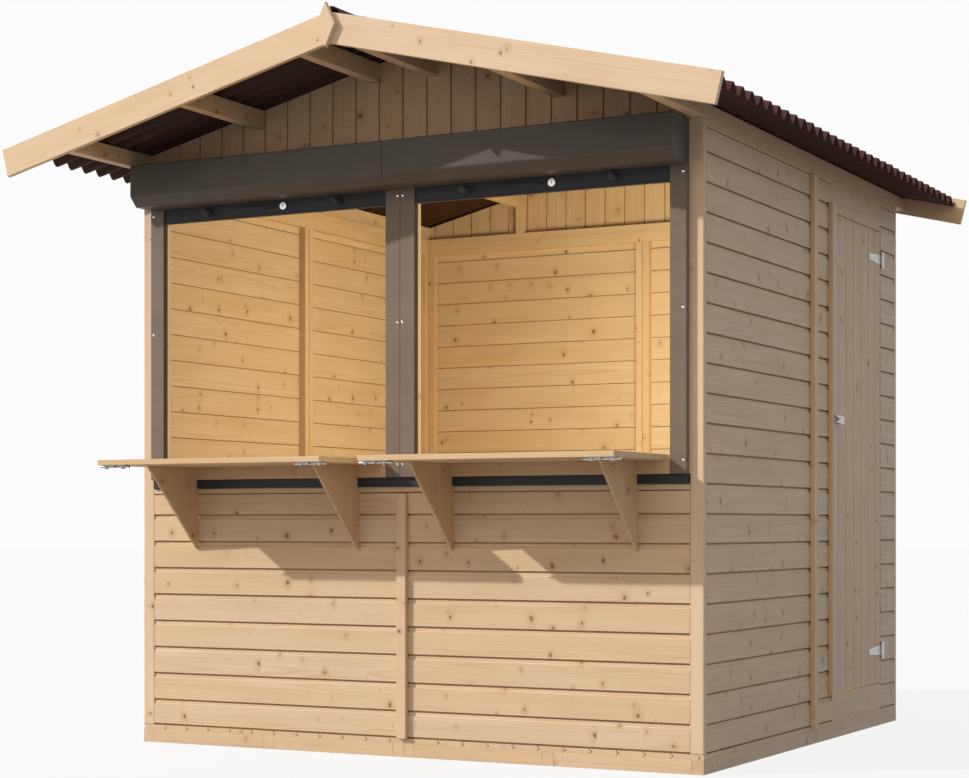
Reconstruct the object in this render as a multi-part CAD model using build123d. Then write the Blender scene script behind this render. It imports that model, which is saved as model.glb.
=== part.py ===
from build123d import *
from math import asin, cos, radians, sin, tan
import os

# A small timber shed with two serving openings in front and a door in its right side.
# Millimetres, +Z up, front towards -Y. The origin is on the ground, under the middle of the roof.

# Footprint and heights
WIDTH = 2065.0
DEPTH = 1955.0
FLOOR_TOP = 60.0
PLATE_TOP = 1957.0
PLATE_HEIGHT = 25.0

# Boards and framing
BOARD_COVER_HEIGHT = 90.0
BOARD_THICKNESS = 17.0
COVE_HEIGHT = 17.0
COVE_DEPTH = 6.5
STUD_WIDTH = 28.0
STUD_DEPTH = 28.0
RAIL_HEIGHT = 45.0
POST_WIDTH = 45.0
POST_THICKNESS = 22.0
REAR_POST_THICKNESS = 20.0
STRIP_WIDTH = 34.0
STRIP_THICKNESS = 17.0
STRIP_SHORT = 5.0
PANEL_JOINT = 2.0

# Floor
FLOORBOARD_THICKNESS = 16.0
JOIST_WIDTH = 40.0
BEAM_WIDTH = 28.0

# Serving front
CAP_BOTTOM = 850.0
CAP_THICKNESS = 17.0
SILL_HEIGHT = 30.0
SILL_DEPTH = 31.0
SILL_PROUD = 9.0
GUIDE_WIDTH = 53.0
GUIDE_DEPTH = 22.0
GUIDE_SLOT_WIDTH = 10.0
GUIDE_SLOT_DEPTH = 40.0
GUIDE_TO_POST = 2.0
HEADER_HEIGHT = 120.0

# Shutter boxes and the lower end of each rolled-up shutter
BOX_SIZE = 137.0
BOX_CHAMFER = 32.0
BOX_BOTTOM = 1818.0
BOX_SEAM = 1.0
SLAT_HEIGHT = 50.0
SLAT_THICKNESS = 8.5
SLAT_IN_GUIDE = 25.0
SLAT_LIP_DEPTH = 6.0
SLAT_LIP_HEIGHT = 5.0
STOP_DIAMETER = 25.0
STOP_TIP_DIAMETER = 19.0
STOP_LENGTH = 34.0
STOP_SPACING = 512.0
STOP_LEVEL = 1797.0
LOCK_DIAMETER = 26.0
LOCK_LENGTH = 9.0
LOCK_OFFSET = 47.0
LOCK_LEVEL = 1797.0
GRIP_LENGTH = 163.0
GRIP_OFFSET = -64.0
GRIP_HEIGHT = 12.0
GRIP_PROUD = 9.0
GRIP_LEVEL = 1797.0

# Counters
COUNTER_SIDE_GAP = 14.75
COUNTER_FRONT = 395.0
COUNTER_THICKNESS = 17.0
COUNTER_UNDERSIDE = 938.0
BATTEN_THICKNESS = 45.0
BATTEN_PROUD = 17.0
BRACKET_LENGTH = 270.0
BRACKET_DROP = 274.0
BRACKET_THICKNESS = 9.0
BRACKET_INSET = 107.0
BRACKET_SHIFT = 4.5
BRACKET_TIP = 8.0
BOLT_PLATE_LENGTH = 95.0
BOLT_PLATE_WIDTH = 28.0
BOLT_PLATE_THICKNESS = 2.0
BOLT_BAR_DIAMETER = 8.0
BOLT_BAR_LENGTH = 118.0
BOLT_BAR_REACH = 14.0
BOLT_BAR_SUNK = 1.0
BOLT_KEEPER_LENGTH = 14.0
BOLT_KEEPER_WIDTH = 14.0
BOLT_KNOB_DIAMETER = 7.0
BOLT_KNOB_LENGTH = 16.0
BOLT_FROM_FRONT = 28.0
BOLT_FROM_END = 4.0

# Door in the right wall
DOORWAY_WIDTH = 565.0
DOORWAY_FROM_REAR = 198.0
DOOR_BOTTOM = 155.0
DOOR_TOP = 1836.0
DOOR_GAP = 5.0
DOOR_BOARD = 86.0
DOOR_GROOVE_WIDTH = 5.0
DOOR_GROOVE_DEPTH = 3.5
JAMB_STRIP_WIDTH = 42.0
JAMB_STRIP_TOP = 1863.0
LEDGE_HEIGHT = 90.0
LEDGE_THICKNESS = 18.0
LEDGE_INSET = 40.0
LOW_HINGE_HEIGHT = 279.0
HIGH_HINGE_HEIGHT = 1730.0
HINGE_PIN_RADIUS = 3.0
HINGE_CLEARANCE = 0.08
KNUCKLE_RADIUS = 6.0
KNUCKLE_HEIGHT = 60.0
HINGE_PLATE = 2.5
HINGE_STRAP_LENGTH = 145.0
HINGE_STRAP_ROOT = 40.0
HINGE_STRAP_TIP = 20.0
HINGE_FRAME_LEAF = 34.0
HINGE_KNUCKLE_SHARE = 0.6
KNUCKLE_GAP = 0.5
HASP_LEVEL = 1112.0
HASP_HEIGHT = 26.0
HASP_THICKNESS = 2.5
HASP_PLATE_START = 52.0
HASP_PLATE_LENGTH = 80.0
HASP_OVER_STRIP = 32.0
HASP_CLEARANCE = 7.5
HASP_SLOT_LENGTH = 23.0
HASP_SLOT_HEIGHT = 14.5
STAPLE_DIAMETER = 4.0
STAPLE_REACH = 22.0
STAPLE_WIDTH = 8.0
STAPLE_PLATE_WIDTH = 20.0

# Roof
ROOF_SLOPE = 13.7
ROOF_SEAT_AT_WALL = 2002.0
PURLIN_WIDTH = 38.0
PURLIN_HEIGHT = 56.0
MIDDLE_PURLIN = 535.0
RIDGE_PURLIN = 86.0
FRONT_OVERHANG = 435.0
REAR_OVERHANG = 120.0
BARGE_WIDTH = 93.0
BARGE_THICKNESS = 17.0
BARGE_ABOVE_SEAT = 37.0
EAVE_EDGE = 1218.0
BARGE_END = 1268.0
WAVE_PITCH = 76.0
WAVE_HEIGHT = 31.0
WAVE_FLANK_ANGLE = 54.0
SHEET_THICKNESS = 3.0
DIAMOND_TOP = 2318.0
DIAMOND_BOTTOM = 2180.0
DIAMOND_HALF_WIDTH = 34.0
CAP_LEG = 130.0
CAP_ROLL_HALF_WIDTH = 30.0
CAP_ROLL_RISE = 20.0

# Values that follow from the ones above
SEAT_GAP = 0.3
HALF_WIDTH = WIDTH / 2
FRONT = (FRONT_OVERHANG - REAR_OVERHANG - DEPTH) / 2
REAR = FRONT + DEPTH
MIDDLE = (FRONT + REAR) / 2
WALL_THICKNESS = BOARD_THICKNESS + STUD_DEPTH
PLATE_BOTTOM = PLATE_TOP - PLATE_HEIGHT
SILL_BOTTOM = CAP_BOTTOM + CAP_THICKNESS
SILL_TOP = SILL_BOTTOM + SILL_HEIGHT
COUNTER_TOP = COUNTER_UNDERSIDE + COUNTER_THICKNESS
INSIDE_POSTS = HALF_WIDTH - POST_WIDTH
GUIDE_OUTER = INSIDE_POSTS - GUIDE_TO_POST
OPENING_OUTER = GUIDE_OUTER - GUIDE_WIDTH
OPENING_INNER = GUIDE_WIDTH
OPENING_CENTRE = (OPENING_OUTER + OPENING_INNER) / 2
COUNTER_WIDTH = OPENING_OUTER - OPENING_INNER - 2 * COUNTER_SIDE_GAP
SIDE_FRONT = FRONT + POST_THICKNESS
SIDE_REAR = REAR - REAR_POST_THICKNESS
HINGE_Y = REAR - DOORWAY_FROM_REAR
LATCH_Y = HINGE_Y - DOORWAY_WIDTH
RISE = tan(radians(ROOF_SLOPE))
RIDGE_SEAT = ROOF_SEAT_AT_WALL + RISE * HALF_WIDTH
ROOF_FRONT = FRONT - FRONT_OVERHANG
ROOF_REAR = REAR + REAR_OVERHANG
SIDES = (-1, 1)
ON_FACE = (Align.CENTER, Align.CENTER, Align.MIN)


def block(x, y, z):
    """A rectangular timber between two places along each axis."""
    low = (min(x), min(y), min(z))
    size = (abs(x[1] - x[0]), abs(y[1] - y[0]), abs(z[1] - z[0]))
    return Pos(*low) * Box(*size, align=(Align.MIN, Align.MIN, Align.MIN))


def outline_yz(points, x0, x1):
    """A closed outline of (y, z) points, extruded along X from x0 to x1."""
    return along_x(Polyline(*points, close=True), x0, x1)


def along_x(lines, x0, x1):
    """A closed outline of lines and arcs in (y, z), extruded along X from x0 to x1."""
    face = Plane.YZ * make_face(lines)
    return Pos(x0, 0, 0) * extrude(face, amount=x1 - x0, dir=(1, 0, 0))


def outline_xz(points, y0, y1):
    """A closed outline of (x, z) points, extruded along Y from y0 to y1."""
    return along_y(Polyline(*points, close=True), y0, y1)


def along_y(lines, y0, y1):
    """A closed outline of lines and arcs in (x, z), extruded along Y from y0 to y1."""
    plane = Plane((0, y0, 0), x_dir=(1, 0, 0), z_dir=(0, -1, 0))
    face = plane * make_face(lines)
    return extrude(face, amount=y1 - y0, dir=(0, 1, 0))


def mirrored(solid):
    """The same piece on the other side of the shed."""
    return mirror(solid, about=Plane.YZ)


def seat(x):
    """Height of the roof's underside above a place across the shed."""
    return RIDGE_SEAT - RISE * abs(x)


def siding(length, low, high):
    """Horizontal boards with a cove under each lap. The outer face is on y = 0 and looks to -y."""
    radius = (COVE_HEIGHT**2 + COVE_DEPTH**2) / (2 * COVE_DEPTH)
    half_turn = asin(COVE_HEIGHT / radius) / 2
    lines = [Polyline((0, high), (BOARD_THICKNESS, high), (BOARD_THICKNESS, low), (0, low))]
    reached = low
    count = int((high - FLOOR_TOP) // BOARD_COVER_HEIGHT) + 1
    for row in range(1, count + 1):
        lap = FLOOR_TOP + row * BOARD_COVER_HEIGHT
        if low + COVE_HEIGHT < lap < high - COVE_HEIGHT:
            start = (0, lap - COVE_HEIGHT)
            middle = (COVE_DEPTH - radius + radius * cos(half_turn), lap - radius * sin(half_turn))
            lines += [
                Line((0, reached), start),
                ThreePointArc(start, middle, (COVE_DEPTH, lap)),
                Line((COVE_DEPTH, lap), (0, lap)),
            ]
            reached = lap
    lines.append(Line((0, reached), (0, high)))
    return along_x(lines, -length / 2, length / 2)


def upright_boards(width, low_left, low_right, profile):
    """A gable's upright boards as one board-thick plate with the given top outline."""
    points = [(-width / 2, low_left), (width / 2, low_right)] + profile
    return outline_xz(points, 0, BOARD_THICKNESS)


def facing_right(solid, y0, y1):
    """Turn a siding panel to look to +X and stand it between two places along the depth."""
    return Pos(HALF_WIDTH, (y0 + y1) / 2, 0) * Rot(0, 0, 90) * solid


def facing_rear(solid, x0, x1):
    """Turn a siding panel to look to +Y, between two places across the shed."""
    return Pos((x0 + x1) / 2, REAR, 0) * Rot(0, 0, 180) * solid


def facing_front(solid, x0, x1):
    """Stand a siding panel in the front wall, between two places across the shed."""
    return Pos((x0 + x1) / 2, FRONT, 0) * solid


def floor_pieces():
    joist_top = FLOOR_TOP - FLOORBOARD_THICKNESS
    nodes = {}
    for name, side in (("left", -1), ("right", 1)):
        joists = []
        inner = 0.0
        outer = HALF_WIDTH - JOIST_WIDTH
        middle = (inner + outer) / 2
        for start in (inner, middle, outer):
            x = (side * start, side * (start + JOIST_WIDTH))
            joists.append(block(x, (FRONT, REAR), (0, joist_top)))
        nodes[f"floor_joists_{name}"] = joists
        beams = []
        for start, end in ((inner + JOIST_WIDTH, middle), (middle + JOIST_WIDTH, outer)):
            for y0, y1 in ((FRONT, FRONT + BEAM_WIDTH), (REAR - BEAM_WIDTH, REAR)):
                beams.append(block((side * start, side * end), (y0, y1), (0, joist_top)))
        nodes[f"floor_beams_{name}"] = beams
    nodes["floor_boards"] = [block((-HALF_WIDTH, HALF_WIDTH), (FRONT, REAR), (joist_top, FLOOR_TOP))]
    return nodes


def front_pieces():
    back = FRONT + POST_THICKNESS
    corner = block((INSIDE_POSTS, HALF_WIDTH), (FRONT, back), (FLOOR_TOP, PLATE_TOP))
    jamb = block((OPENING_OUTER, INSIDE_POSTS), (FRONT, back), (SILL_TOP, PLATE_TOP))
    post = corner + jamb
    centre = block((-OPENING_INNER, OPENING_INNER), (FRONT, back), (SILL_TOP, PLATE_TOP))
    headers = []
    for side in SIDES:
        x = (side * OPENING_INNER, side * OPENING_OUTER)
        headers.append(block(x, (FRONT, back), (PLATE_TOP - HEADER_HEIGHT, PLATE_TOP)))
    panels = []
    for side in SIDES:
        inner = PANEL_JOINT / 2
        panel = siding(INSIDE_POSTS - inner, FLOOR_TOP, CAP_BOTTOM)
        panels.append(facing_front(panel, side * inner, side * INSIDE_POSTS))
    cap_back = FRONT + WALL_THICKNESS
    cap = block((-INSIDE_POSTS, INSIDE_POSTS), (FRONT, cap_back), (CAP_BOTTOM, SILL_BOTTOM))
    sill_y = (FRONT - SILL_PROUD, FRONT - SILL_PROUD + SILL_DEPTH)
    sill = block((-GUIDE_OUTER, GUIDE_OUTER), sill_y, (SILL_BOTTOM, SILL_TOP))
    return {
        "front_left_post": [mirrored(post)],
        "front_right_post": [post],
        "front_centre_post": [centre],
        "front_headers": headers,
        "front_lower_panels": panels,
        "front_cap_board": [cap],
        "front_sill": [sill],
    }


def left_wall_pieces():
    panels = []
    for y0, y1 in ((SIDE_FRONT, MIDDLE - PANEL_JOINT / 2), (MIDDLE + PANEL_JOINT / 2, SIDE_REAR)):
        panel = siding(y1 - y0, FLOOR_TOP, PLATE_BOTTOM)
        panels.append(mirrored(facing_right(panel, y0, y1)))
    return {"left_wall_panels": panels}


def rear_wall_pieces():
    inside = HALF_WIDTH - BOARD_THICKNESS
    panels = []
    for side in SIDES:
        panel = siding(inside - PANEL_JOINT / 2, FLOOR_TOP, PLATE_BOTTOM)
        panels.append(facing_rear(panel, side * PANEL_JOINT / 2, side * inside))
    post = block((inside, HALF_WIDTH), (SIDE_REAR, REAR), (FLOOR_TOP, PLATE_BOTTOM))
    return {"rear_wall_panels": panels, "rear_corner_posts": [post, mirrored(post)]}


def right_wall_pieces():
    before = MIDDLE - PANEL_JOINT / 2
    after = MIDDLE + PANEL_JOINT / 2
    nodes = {}
    for name, y0, y1 in (
        ("right_wall_front_panel", SIDE_FRONT, before),
        ("right_wall_latch_panel", after, LATCH_Y),
        ("right_wall_hinge_panel", HINGE_Y, SIDE_REAR),
    ):
        nodes[name] = [facing_right(siding(y1 - y0, FLOOR_TOP, PLATE_BOTTOM), y0, y1)]
    boards = (HALF_WIDTH - BOARD_THICKNESS, HALF_WIDTH)
    nodes["right_wall_over_door"] = [block(boards, (LATCH_Y, HINGE_Y), (DOOR_TOP, PLATE_BOTTOM))]
    nodes["right_wall_under_door"] = [block(boards, (LATCH_Y, HINGE_Y), (FLOOR_TOP, DOOR_BOTTOM))]
    return nodes


def cover_strips():
    strips = []
    half = STRIP_WIDTH / 2
    front = (FRONT - STRIP_THICKNESS, FRONT)
    rear = (REAR, REAR + STRIP_THICKNESS)
    strips.append(block((-half, half), front, (FLOOR_TOP, CAP_BOTTOM - STRIP_SHORT)))
    strips.append(block((-half, half), rear, (FLOOR_TOP, PLATE_BOTTOM)))
    for side in SIDES:
        x = (side * HALF_WIDTH, side * (HALF_WIDTH + STRIP_THICKNESS))
        strips.append(block(x, (MIDDLE - half, MIDDLE + half), (FLOOR_TOP, PLATE_BOTTOM)))
    x = (HALF_WIDTH, HALF_WIDTH + STRIP_THICKNESS)
    jamb = block(x, (LATCH_Y - JAMB_STRIP_WIDTH, LATCH_Y), (DOOR_BOTTOM, JAMB_STRIP_TOP))
    return {"cover_strips": strips, "door_jamb_strip": [jamb]}


def framing():
    """Studs, rails and plates on the inside of the boards."""
    stud_top = PLATE_BOTTOM - RAIL_HEIGHT
    stud_low = FLOOR_TOP + RAIL_HEIGHT
    deep = (HALF_WIDTH - WALL_THICKNESS, HALF_WIDTH - BOARD_THICKNESS)
    side_end = REAR - WALL_THICKNESS
    left_y = [
        (SIDE_FRONT, SIDE_FRONT + STUD_WIDTH),
        (MIDDLE - PANEL_JOINT / 2 - STUD_WIDTH, MIDDLE - PANEL_JOINT / 2),
        (MIDDLE + PANEL_JOINT / 2, MIDDLE + PANEL_JOINT / 2 + STUD_WIDTH),
        (side_end - STUD_WIDTH, side_end),
    ]
    doorway = [(LATCH_Y - STUD_WIDTH, LATCH_Y), (HINGE_Y, HINGE_Y + STUD_WIDTH)]
    right_y = left_y[:3] + doorway + left_y[3:]
    left = [block((-deep[0], -deep[1]), y, (stud_low, stud_top)) for y in left_y]
    right = [block(deep, y, (stud_low, stud_top)) for y in right_y]
    rear_y = (REAR - WALL_THICKNESS, REAR - BOARD_THICKNESS)
    rear = []
    for side in SIDES:
        for x0 in (PANEL_JOINT / 2, HALF_WIDTH - WALL_THICKNESS - STUD_WIDTH):
            rear.append(block((side * x0, side * (x0 + STUD_WIDTH)), rear_y, (stud_low, stud_top)))
    front = []
    front_y = (FRONT + BOARD_THICKNESS, FRONT + WALL_THICKNESS)
    for side in SIDES:
        for x0 in (PANEL_JOINT / 2, HALF_WIDTH - WALL_THICKNESS - STUD_WIDTH):
            front.append(block((side * x0, side * (x0 + STUD_WIDTH)), front_y, (FLOOR_TOP, CAP_BOTTOM)))
    rails = []
    long = (SIDE_FRONT, side_end)
    for z in ((FLOOR_TOP, stud_low), (stud_top, PLATE_BOTTOM)):
        for side in SIDES:
            rails.append(block((side * deep[0], side * deep[1]), long, z))
    across = (-deep[0], deep[0])
    for z in ((FLOOR_TOP, stud_low), (stud_top, PLATE_BOTTOM)):
        rails.append(block(across, rear_y, z))
    plates = []
    for side in SIDES:
        x = (side * (HALF_WIDTH - WALL_THICKNESS), side * HALF_WIDTH)
        plates.append(block(x, (SIDE_FRONT, REAR), (PLATE_BOTTOM, PLATE_TOP)))
    x = HALF_WIDTH - WALL_THICKNESS
    plates.append(block((-x, x), (REAR - WALL_THICKNESS, REAR), (PLATE_BOTTOM, PLATE_TOP)))
    return {
        "left_wall_studs": left,
        "right_wall_studs": right,
        "rear_wall_studs": rear,
        "front_wall_studs": front,
        "wall_rails": rails,
        "wall_plates": plates,
    }


def gables():
    inside = HALF_WIDTH - PURLIN_WIDTH
    outline = [(inside, seat(inside)), (0, RIDGE_SEAT), (-inside, seat(inside))]
    plate = upright_boards(2 * inside, PLATE_TOP, PLATE_TOP, outline)
    holes = []
    for side in SIDES:
        for start in (RIDGE_PURLIN, MIDDLE_PURLIN):
            holes.append(purlin(side, start, -DEPTH, DEPTH, SEAT_GAP))
    for hole in holes:
        plate = plate - hole
    front = Pos(0, FRONT, 0) * plate
    rear = Pos(0, REAR - BOARD_THICKNESS, 0) * plate
    return {"front_gable": [front], "rear_gable": [rear]}


def purlin(side, start, y0, y1, room=0.0):
    """A roof timber whose top is planed to the slope. room widens it, for the notch it lies in."""
    inner = start - room
    outer = start + PURLIN_WIDTH + room
    low = seat(start + PURLIN_WIDTH / 2) - PURLIN_HEIGHT - room
    if start == HALF_WIDTH - PURLIN_WIDTH:
        low = PLATE_TOP
    points = [(inner, low), (outer, low), (outer, seat(outer)), (inner, seat(inner))]
    return outline_xz([(side * x, z) for x, z in points], y0, y1)


def roof_pieces():
    nodes = {}
    eave = HALF_WIDTH - PURLIN_WIDTH
    for name, side in (("left", -1), ("right", 1)):
        timbers = []
        for start in (RIDGE_PURLIN, MIDDLE_PURLIN, eave):
            timbers.append(purlin(side, start, ROOF_FRONT, ROOF_REAR))
        nodes[f"{name}_purlins"] = timbers
        nodes[f"{name}_roof_sheets"] = [roof_sheet(side)]
    for name, y0, y1 in (
        ("front_bargeboards", ROOF_FRONT - BARGE_THICKNESS, ROOF_FRONT),
        ("rear_bargeboards", ROOF_REAR, ROOF_REAR + BARGE_THICKNESS),
    ):
        right = bargeboard(y0, y1)
        nodes[name] = [right, mirrored(right)]
    front_plate = ridge_plate(ROOF_FRONT - 2 * BARGE_THICKNESS, ROOF_FRONT - BARGE_THICKNESS)
    rear_plate = ridge_plate(ROOF_REAR + BARGE_THICKNESS, ROOF_REAR + 2 * BARGE_THICKNESS)
    nodes["ridge_plates"] = [front_plate, rear_plate]
    nodes["ridge_cap"] = [ridge_cap()]
    nodes["purlin_posts"] = purlin_posts()
    return nodes


def bargeboard(y0, y1):
    """Plumb at the ridge and square at the eave end."""
    upright = BARGE_WIDTH / cos(radians(ROOF_SLOPE))
    top = RIDGE_SEAT + BARGE_ABOVE_SEAT
    inner = SEAT_GAP / 2
    outer = BARGE_END
    back = BARGE_WIDTH * sin(radians(ROOF_SLOPE))
    points = [
        (inner, top - RISE * inner),
        (outer, top - RISE * outer),
        (outer - back, top - RISE * (outer - back) - upright),
        (inner, top - RISE * inner - upright),
    ]
    return outline_xz(points, y0, y1)


def ridge_plate(y0, y1):
    middle = (DIAMOND_TOP + DIAMOND_BOTTOM) / 2
    half = DIAMOND_HALF_WIDTH
    points = [(0, DIAMOND_TOP), (half, middle), (0, DIAMOND_BOTTOM), (-half, middle)]
    return outline_xz(points, y0, y1)


def wave_line(waves, lift, reverse):
    """Round crests and valleys joined by straight flanks. lift moves the line square to itself."""
    angle = radians(WAVE_FLANK_ANGLE)
    middle = (WAVE_HEIGHT + SHEET_THICKNESS) / 2 + lift / cos(angle)
    corner = tan(angle) * WAVE_PITCH / 4
    # The round that brings a corner down to half the wave's height.
    radius = (corner - WAVE_HEIGHT / 2) / (1 / cos(angle) - 1)
    start = -waves * WAVE_PITCH / 2
    points = [(start, middle)]
    radii = []
    for half_wave in range(2 * waves):
        up = half_wave % 2 == 0
        place = start + (2 * half_wave + 1) * WAVE_PITCH / 4
        points.append((place, middle + (corner if up else -corner)))
        radii.append(radius + (lift if up else -lift))
    points.append((start + waves * WAVE_PITCH, middle))
    if reverse:
        points.reverse()
        radii.reverse()
    return FilletPolyline(*points, radius=radii)


def roof_sheet(side):
    """One slope of corrugated sheet: a wave across the depth, drawn out along the slope."""
    waves = int((ROOF_REAR - ROOF_FRONT - 2 * SEAT_GAP) // WAVE_PITCH)
    lower = wave_line(waves, -SHEET_THICKNESS / 2, False)
    upper = wave_line(waves, SHEET_THICKNESS / 2, True)
    lines = [lower, Line(lower @ 1, upper @ 0), upper, Line(upper @ 1, lower @ 0)]
    slope_length = EAVE_EDGE / cos(radians(ROOF_SLOPE))
    sheet = along_x(lines, 0, slope_length)
    middle = (ROOF_FRONT + ROOF_REAR) / 2
    sheet = Pos(SEAT_GAP, middle, RIDGE_SEAT) * Rot(0, ROOF_SLOPE, 0) * sheet
    plumb = block((SEAT_GAP, 2 * EAVE_EDGE), (2 * ROOF_FRONT, 2 * ROOF_REAR), (0, 2 * RIDGE_SEAT))
    sheet = sheet & plumb
    return sheet if side > 0 else mirrored(sheet)


def ridge_cap():
    """A folded cap with a roll along the ridge, lying on the crests of both slopes."""
    crest = (WAVE_HEIGHT + SHEET_THICKNESS) / cos(radians(ROOF_SLOPE))
    lift = RIDGE_SEAT + crest + SEAT_GAP
    reach = CAP_LEG * cos(radians(ROOF_SLOPE))
    lines = []
    low = lift - RISE * reach
    foot = CAP_ROLL_HALF_WIDTH
    for face in (0, SHEET_THICKNESS):
        foot_z = lift - RISE * foot + face
        crown = lift + CAP_ROLL_RISE - SHEET_THICKNESS + face
        lines += [
            Line((-reach, low + face), (-foot, foot_z)),
            ThreePointArc((-foot, foot_z), (0, crown), (foot, foot_z)),
            Line((foot, foot_z), (reach, low + face)),
        ]
    for x in (-reach, reach):
        lines.append(Line((x, low), (x, low + SHEET_THICKNESS)))
    return along_y(lines, ROOF_FRONT + SEAT_GAP, ROOF_REAR - SEAT_GAP)


def purlin_posts():
    """Short posts under the middle purlins, inside both gables."""
    top = seat(MIDDLE_PURLIN + PURLIN_WIDTH / 2) - PURLIN_HEIGHT
    x = (MIDDLE_PURLIN, MIDDLE_PURLIN + PURLIN_WIDTH)
    posts = []
    for y0 in (FRONT + BOARD_THICKNESS, REAR - WALL_THICKNESS):
        post = block(x, (y0, y0 + STUD_DEPTH), (PLATE_TOP, top))
        posts += [post, mirrored(post)]
    return posts


def shutter_pieces():
    back = FRONT
    front = back - BOX_SIZE
    top = BOX_BOTTOM + BOX_SIZE
    cut = BOX_CHAMFER
    profile = [
        (back, BOX_BOTTOM),
        (front + cut, BOX_BOTTOM),
        (front, BOX_BOTTOM + cut),
        (front, top),
        (back, top),
    ]
    right_box = outline_yz(profile, BOX_SEAM / 2, GUIDE_OUTER)
    boxes = [right_box, mirrored(right_box)]
    guides = []
    slats = []
    stops = []
    locks = []
    for side in SIDES:
        for x0, inward in ((OPENING_OUTER, -1), (SEAT_GAP, 1)):
            guide = shutter_guide(x0, inward)
            guides.append(guide if side > 0 else mirrored(guide))
    for side in SIDES:
        centre = side * OPENING_CENTRE
        slats.append(end_slat(centre))
        face = FRONT - GUIDE_DEPTH / 2 - SLAT_THICKNESS / 2
        for step in SIDES:
            place = Pos(centre + step * STOP_SPACING / 2, face, STOP_LEVEL) * Rot(90, 0, 0)
            cone = Cone(STOP_DIAMETER / 2, STOP_TIP_DIAMETER / 2, STOP_LENGTH, align=ON_FACE)
            stops.append(place * cone)
        place = Pos(centre + LOCK_OFFSET, face, LOCK_LEVEL) * Rot(90, 0, 0)
        locks.append(place * Cylinder(LOCK_DIAMETER / 2, LOCK_LENGTH, align=ON_FACE))
    return {
        "shutter_boxes": boxes,
        "shutter_guides": guides,
        "shutter_end_slats": slats,
        "shutter_stops": stops,
        "shutter_locks": locks,
    }


def end_slat(centre):
    """The stiff last slat of a rolled-up shutter, with a bottom lip and a bowed grip."""
    slot_y = FRONT - GUIDE_DEPTH / 2
    reach = (OPENING_OUTER - OPENING_INNER) / 2
    x = (centre - reach - SLAT_IN_GUIDE, centre + reach + SLAT_IN_GUIDE)
    y = (slot_y - SLAT_THICKNESS / 2, slot_y + SLAT_THICKNESS / 2)
    low = BOX_BOTTOM - SLAT_HEIGHT
    slat = block(x, y, (low, BOX_BOTTOM))
    reach -= DOOR_GAP
    lip_y = (y[0] - SLAT_LIP_DEPTH, y[0])
    lip = block((centre - reach, centre + reach), lip_y, (low, low + SLAT_LIP_HEIGHT))
    left = centre + GRIP_OFFSET - GRIP_LENGTH / 2
    right = centre + GRIP_OFFSET + GRIP_LENGTH / 2
    middle = (left + right) / 2
    bow = GRIP_HEIGHT / 2
    grip = along_y([
        ThreePointArc((left, GRIP_LEVEL), (middle, GRIP_LEVEL + bow), (right, GRIP_LEVEL)),
        ThreePointArc((right, GRIP_LEVEL), (middle, GRIP_LEVEL - bow), (left, GRIP_LEVEL)),
    ], y[0] - GRIP_PROUD, y[0])
    return slat + lip + grip


def shutter_guide(x0, inward):
    """A channel whose slot opens towards the serving opening."""
    y0 = FRONT - GUIDE_DEPTH
    x1 = x0 + GUIDE_WIDTH
    body = block((x0, x1), (y0, FRONT), (SILL_TOP, BOX_BOTTOM))
    middle = FRONT - GUIDE_DEPTH / 2
    slot_y = (middle - GUIDE_SLOT_WIDTH / 2, middle + GUIDE_SLOT_WIDTH / 2)
    mouth, end = (x0, x0 + GUIDE_SLOT_DEPTH) if inward < 0 else (x1, x1 - GUIDE_SLOT_DEPTH)
    return body - block((mouth, end), slot_y, (SILL_TOP, BOX_BOTTOM))


def counter_pieces():
    front = FRONT - COUNTER_FRONT
    back = FRONT - BATTEN_PROUD + BATTEN_THICKNESS
    counters = []
    battens = []
    brackets = []
    bolts = []
    for side in SIDES:
        centre = side * OPENING_CENTRE
        x = (centre - COUNTER_WIDTH / 2, centre + COUNTER_WIDTH / 2)
        counters.append(block(x, (front, back), (COUNTER_UNDERSIDE, COUNTER_TOP)))
        span = (OPENING_OUTER - OPENING_INNER) / 2 - SEAT_GAP
        batten_y = (FRONT - BATTEN_PROUD, back)
        x = (centre - span, centre + span)
        battens.append(block(x, batten_y, (SILL_TOP, COUNTER_UNDERSIDE)))
        for step in SIDES:
            middle = centre + step * (COUNTER_WIDTH / 2 - BRACKET_INSET) + BRACKET_SHIFT
            brackets.append(bracket(middle))
            bolts.append(bolt(centre, step, front))
    return {
        "counters": counters,
        "counter_battens": battens,
        "counter_brackets": brackets,
        "counter_bolts": bolts,
    }


def bracket(middle):
    """A three-cornered board on edge, notched over the batten, the sill and the cap board."""
    low = COUNTER_UNDERSIDE - BRACKET_DROP
    points = [
        (FRONT, low),
        (FRONT, SILL_BOTTOM),
        (FRONT - SILL_PROUD, SILL_BOTTOM),
        (FRONT - SILL_PROUD, SILL_TOP),
        (FRONT - BATTEN_PROUD, SILL_TOP),
        (FRONT - BATTEN_PROUD, COUNTER_UNDERSIDE),
        (FRONT - BRACKET_LENGTH, COUNTER_UNDERSIDE),
        (FRONT - BRACKET_LENGTH, COUNTER_UNDERSIDE - BRACKET_TIP),
        (FRONT - BRACKET_TIP, low),
    ]
    return outline_yz(points, middle - BRACKET_THICKNESS / 2, middle + BRACKET_THICKNESS / 2)


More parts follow.
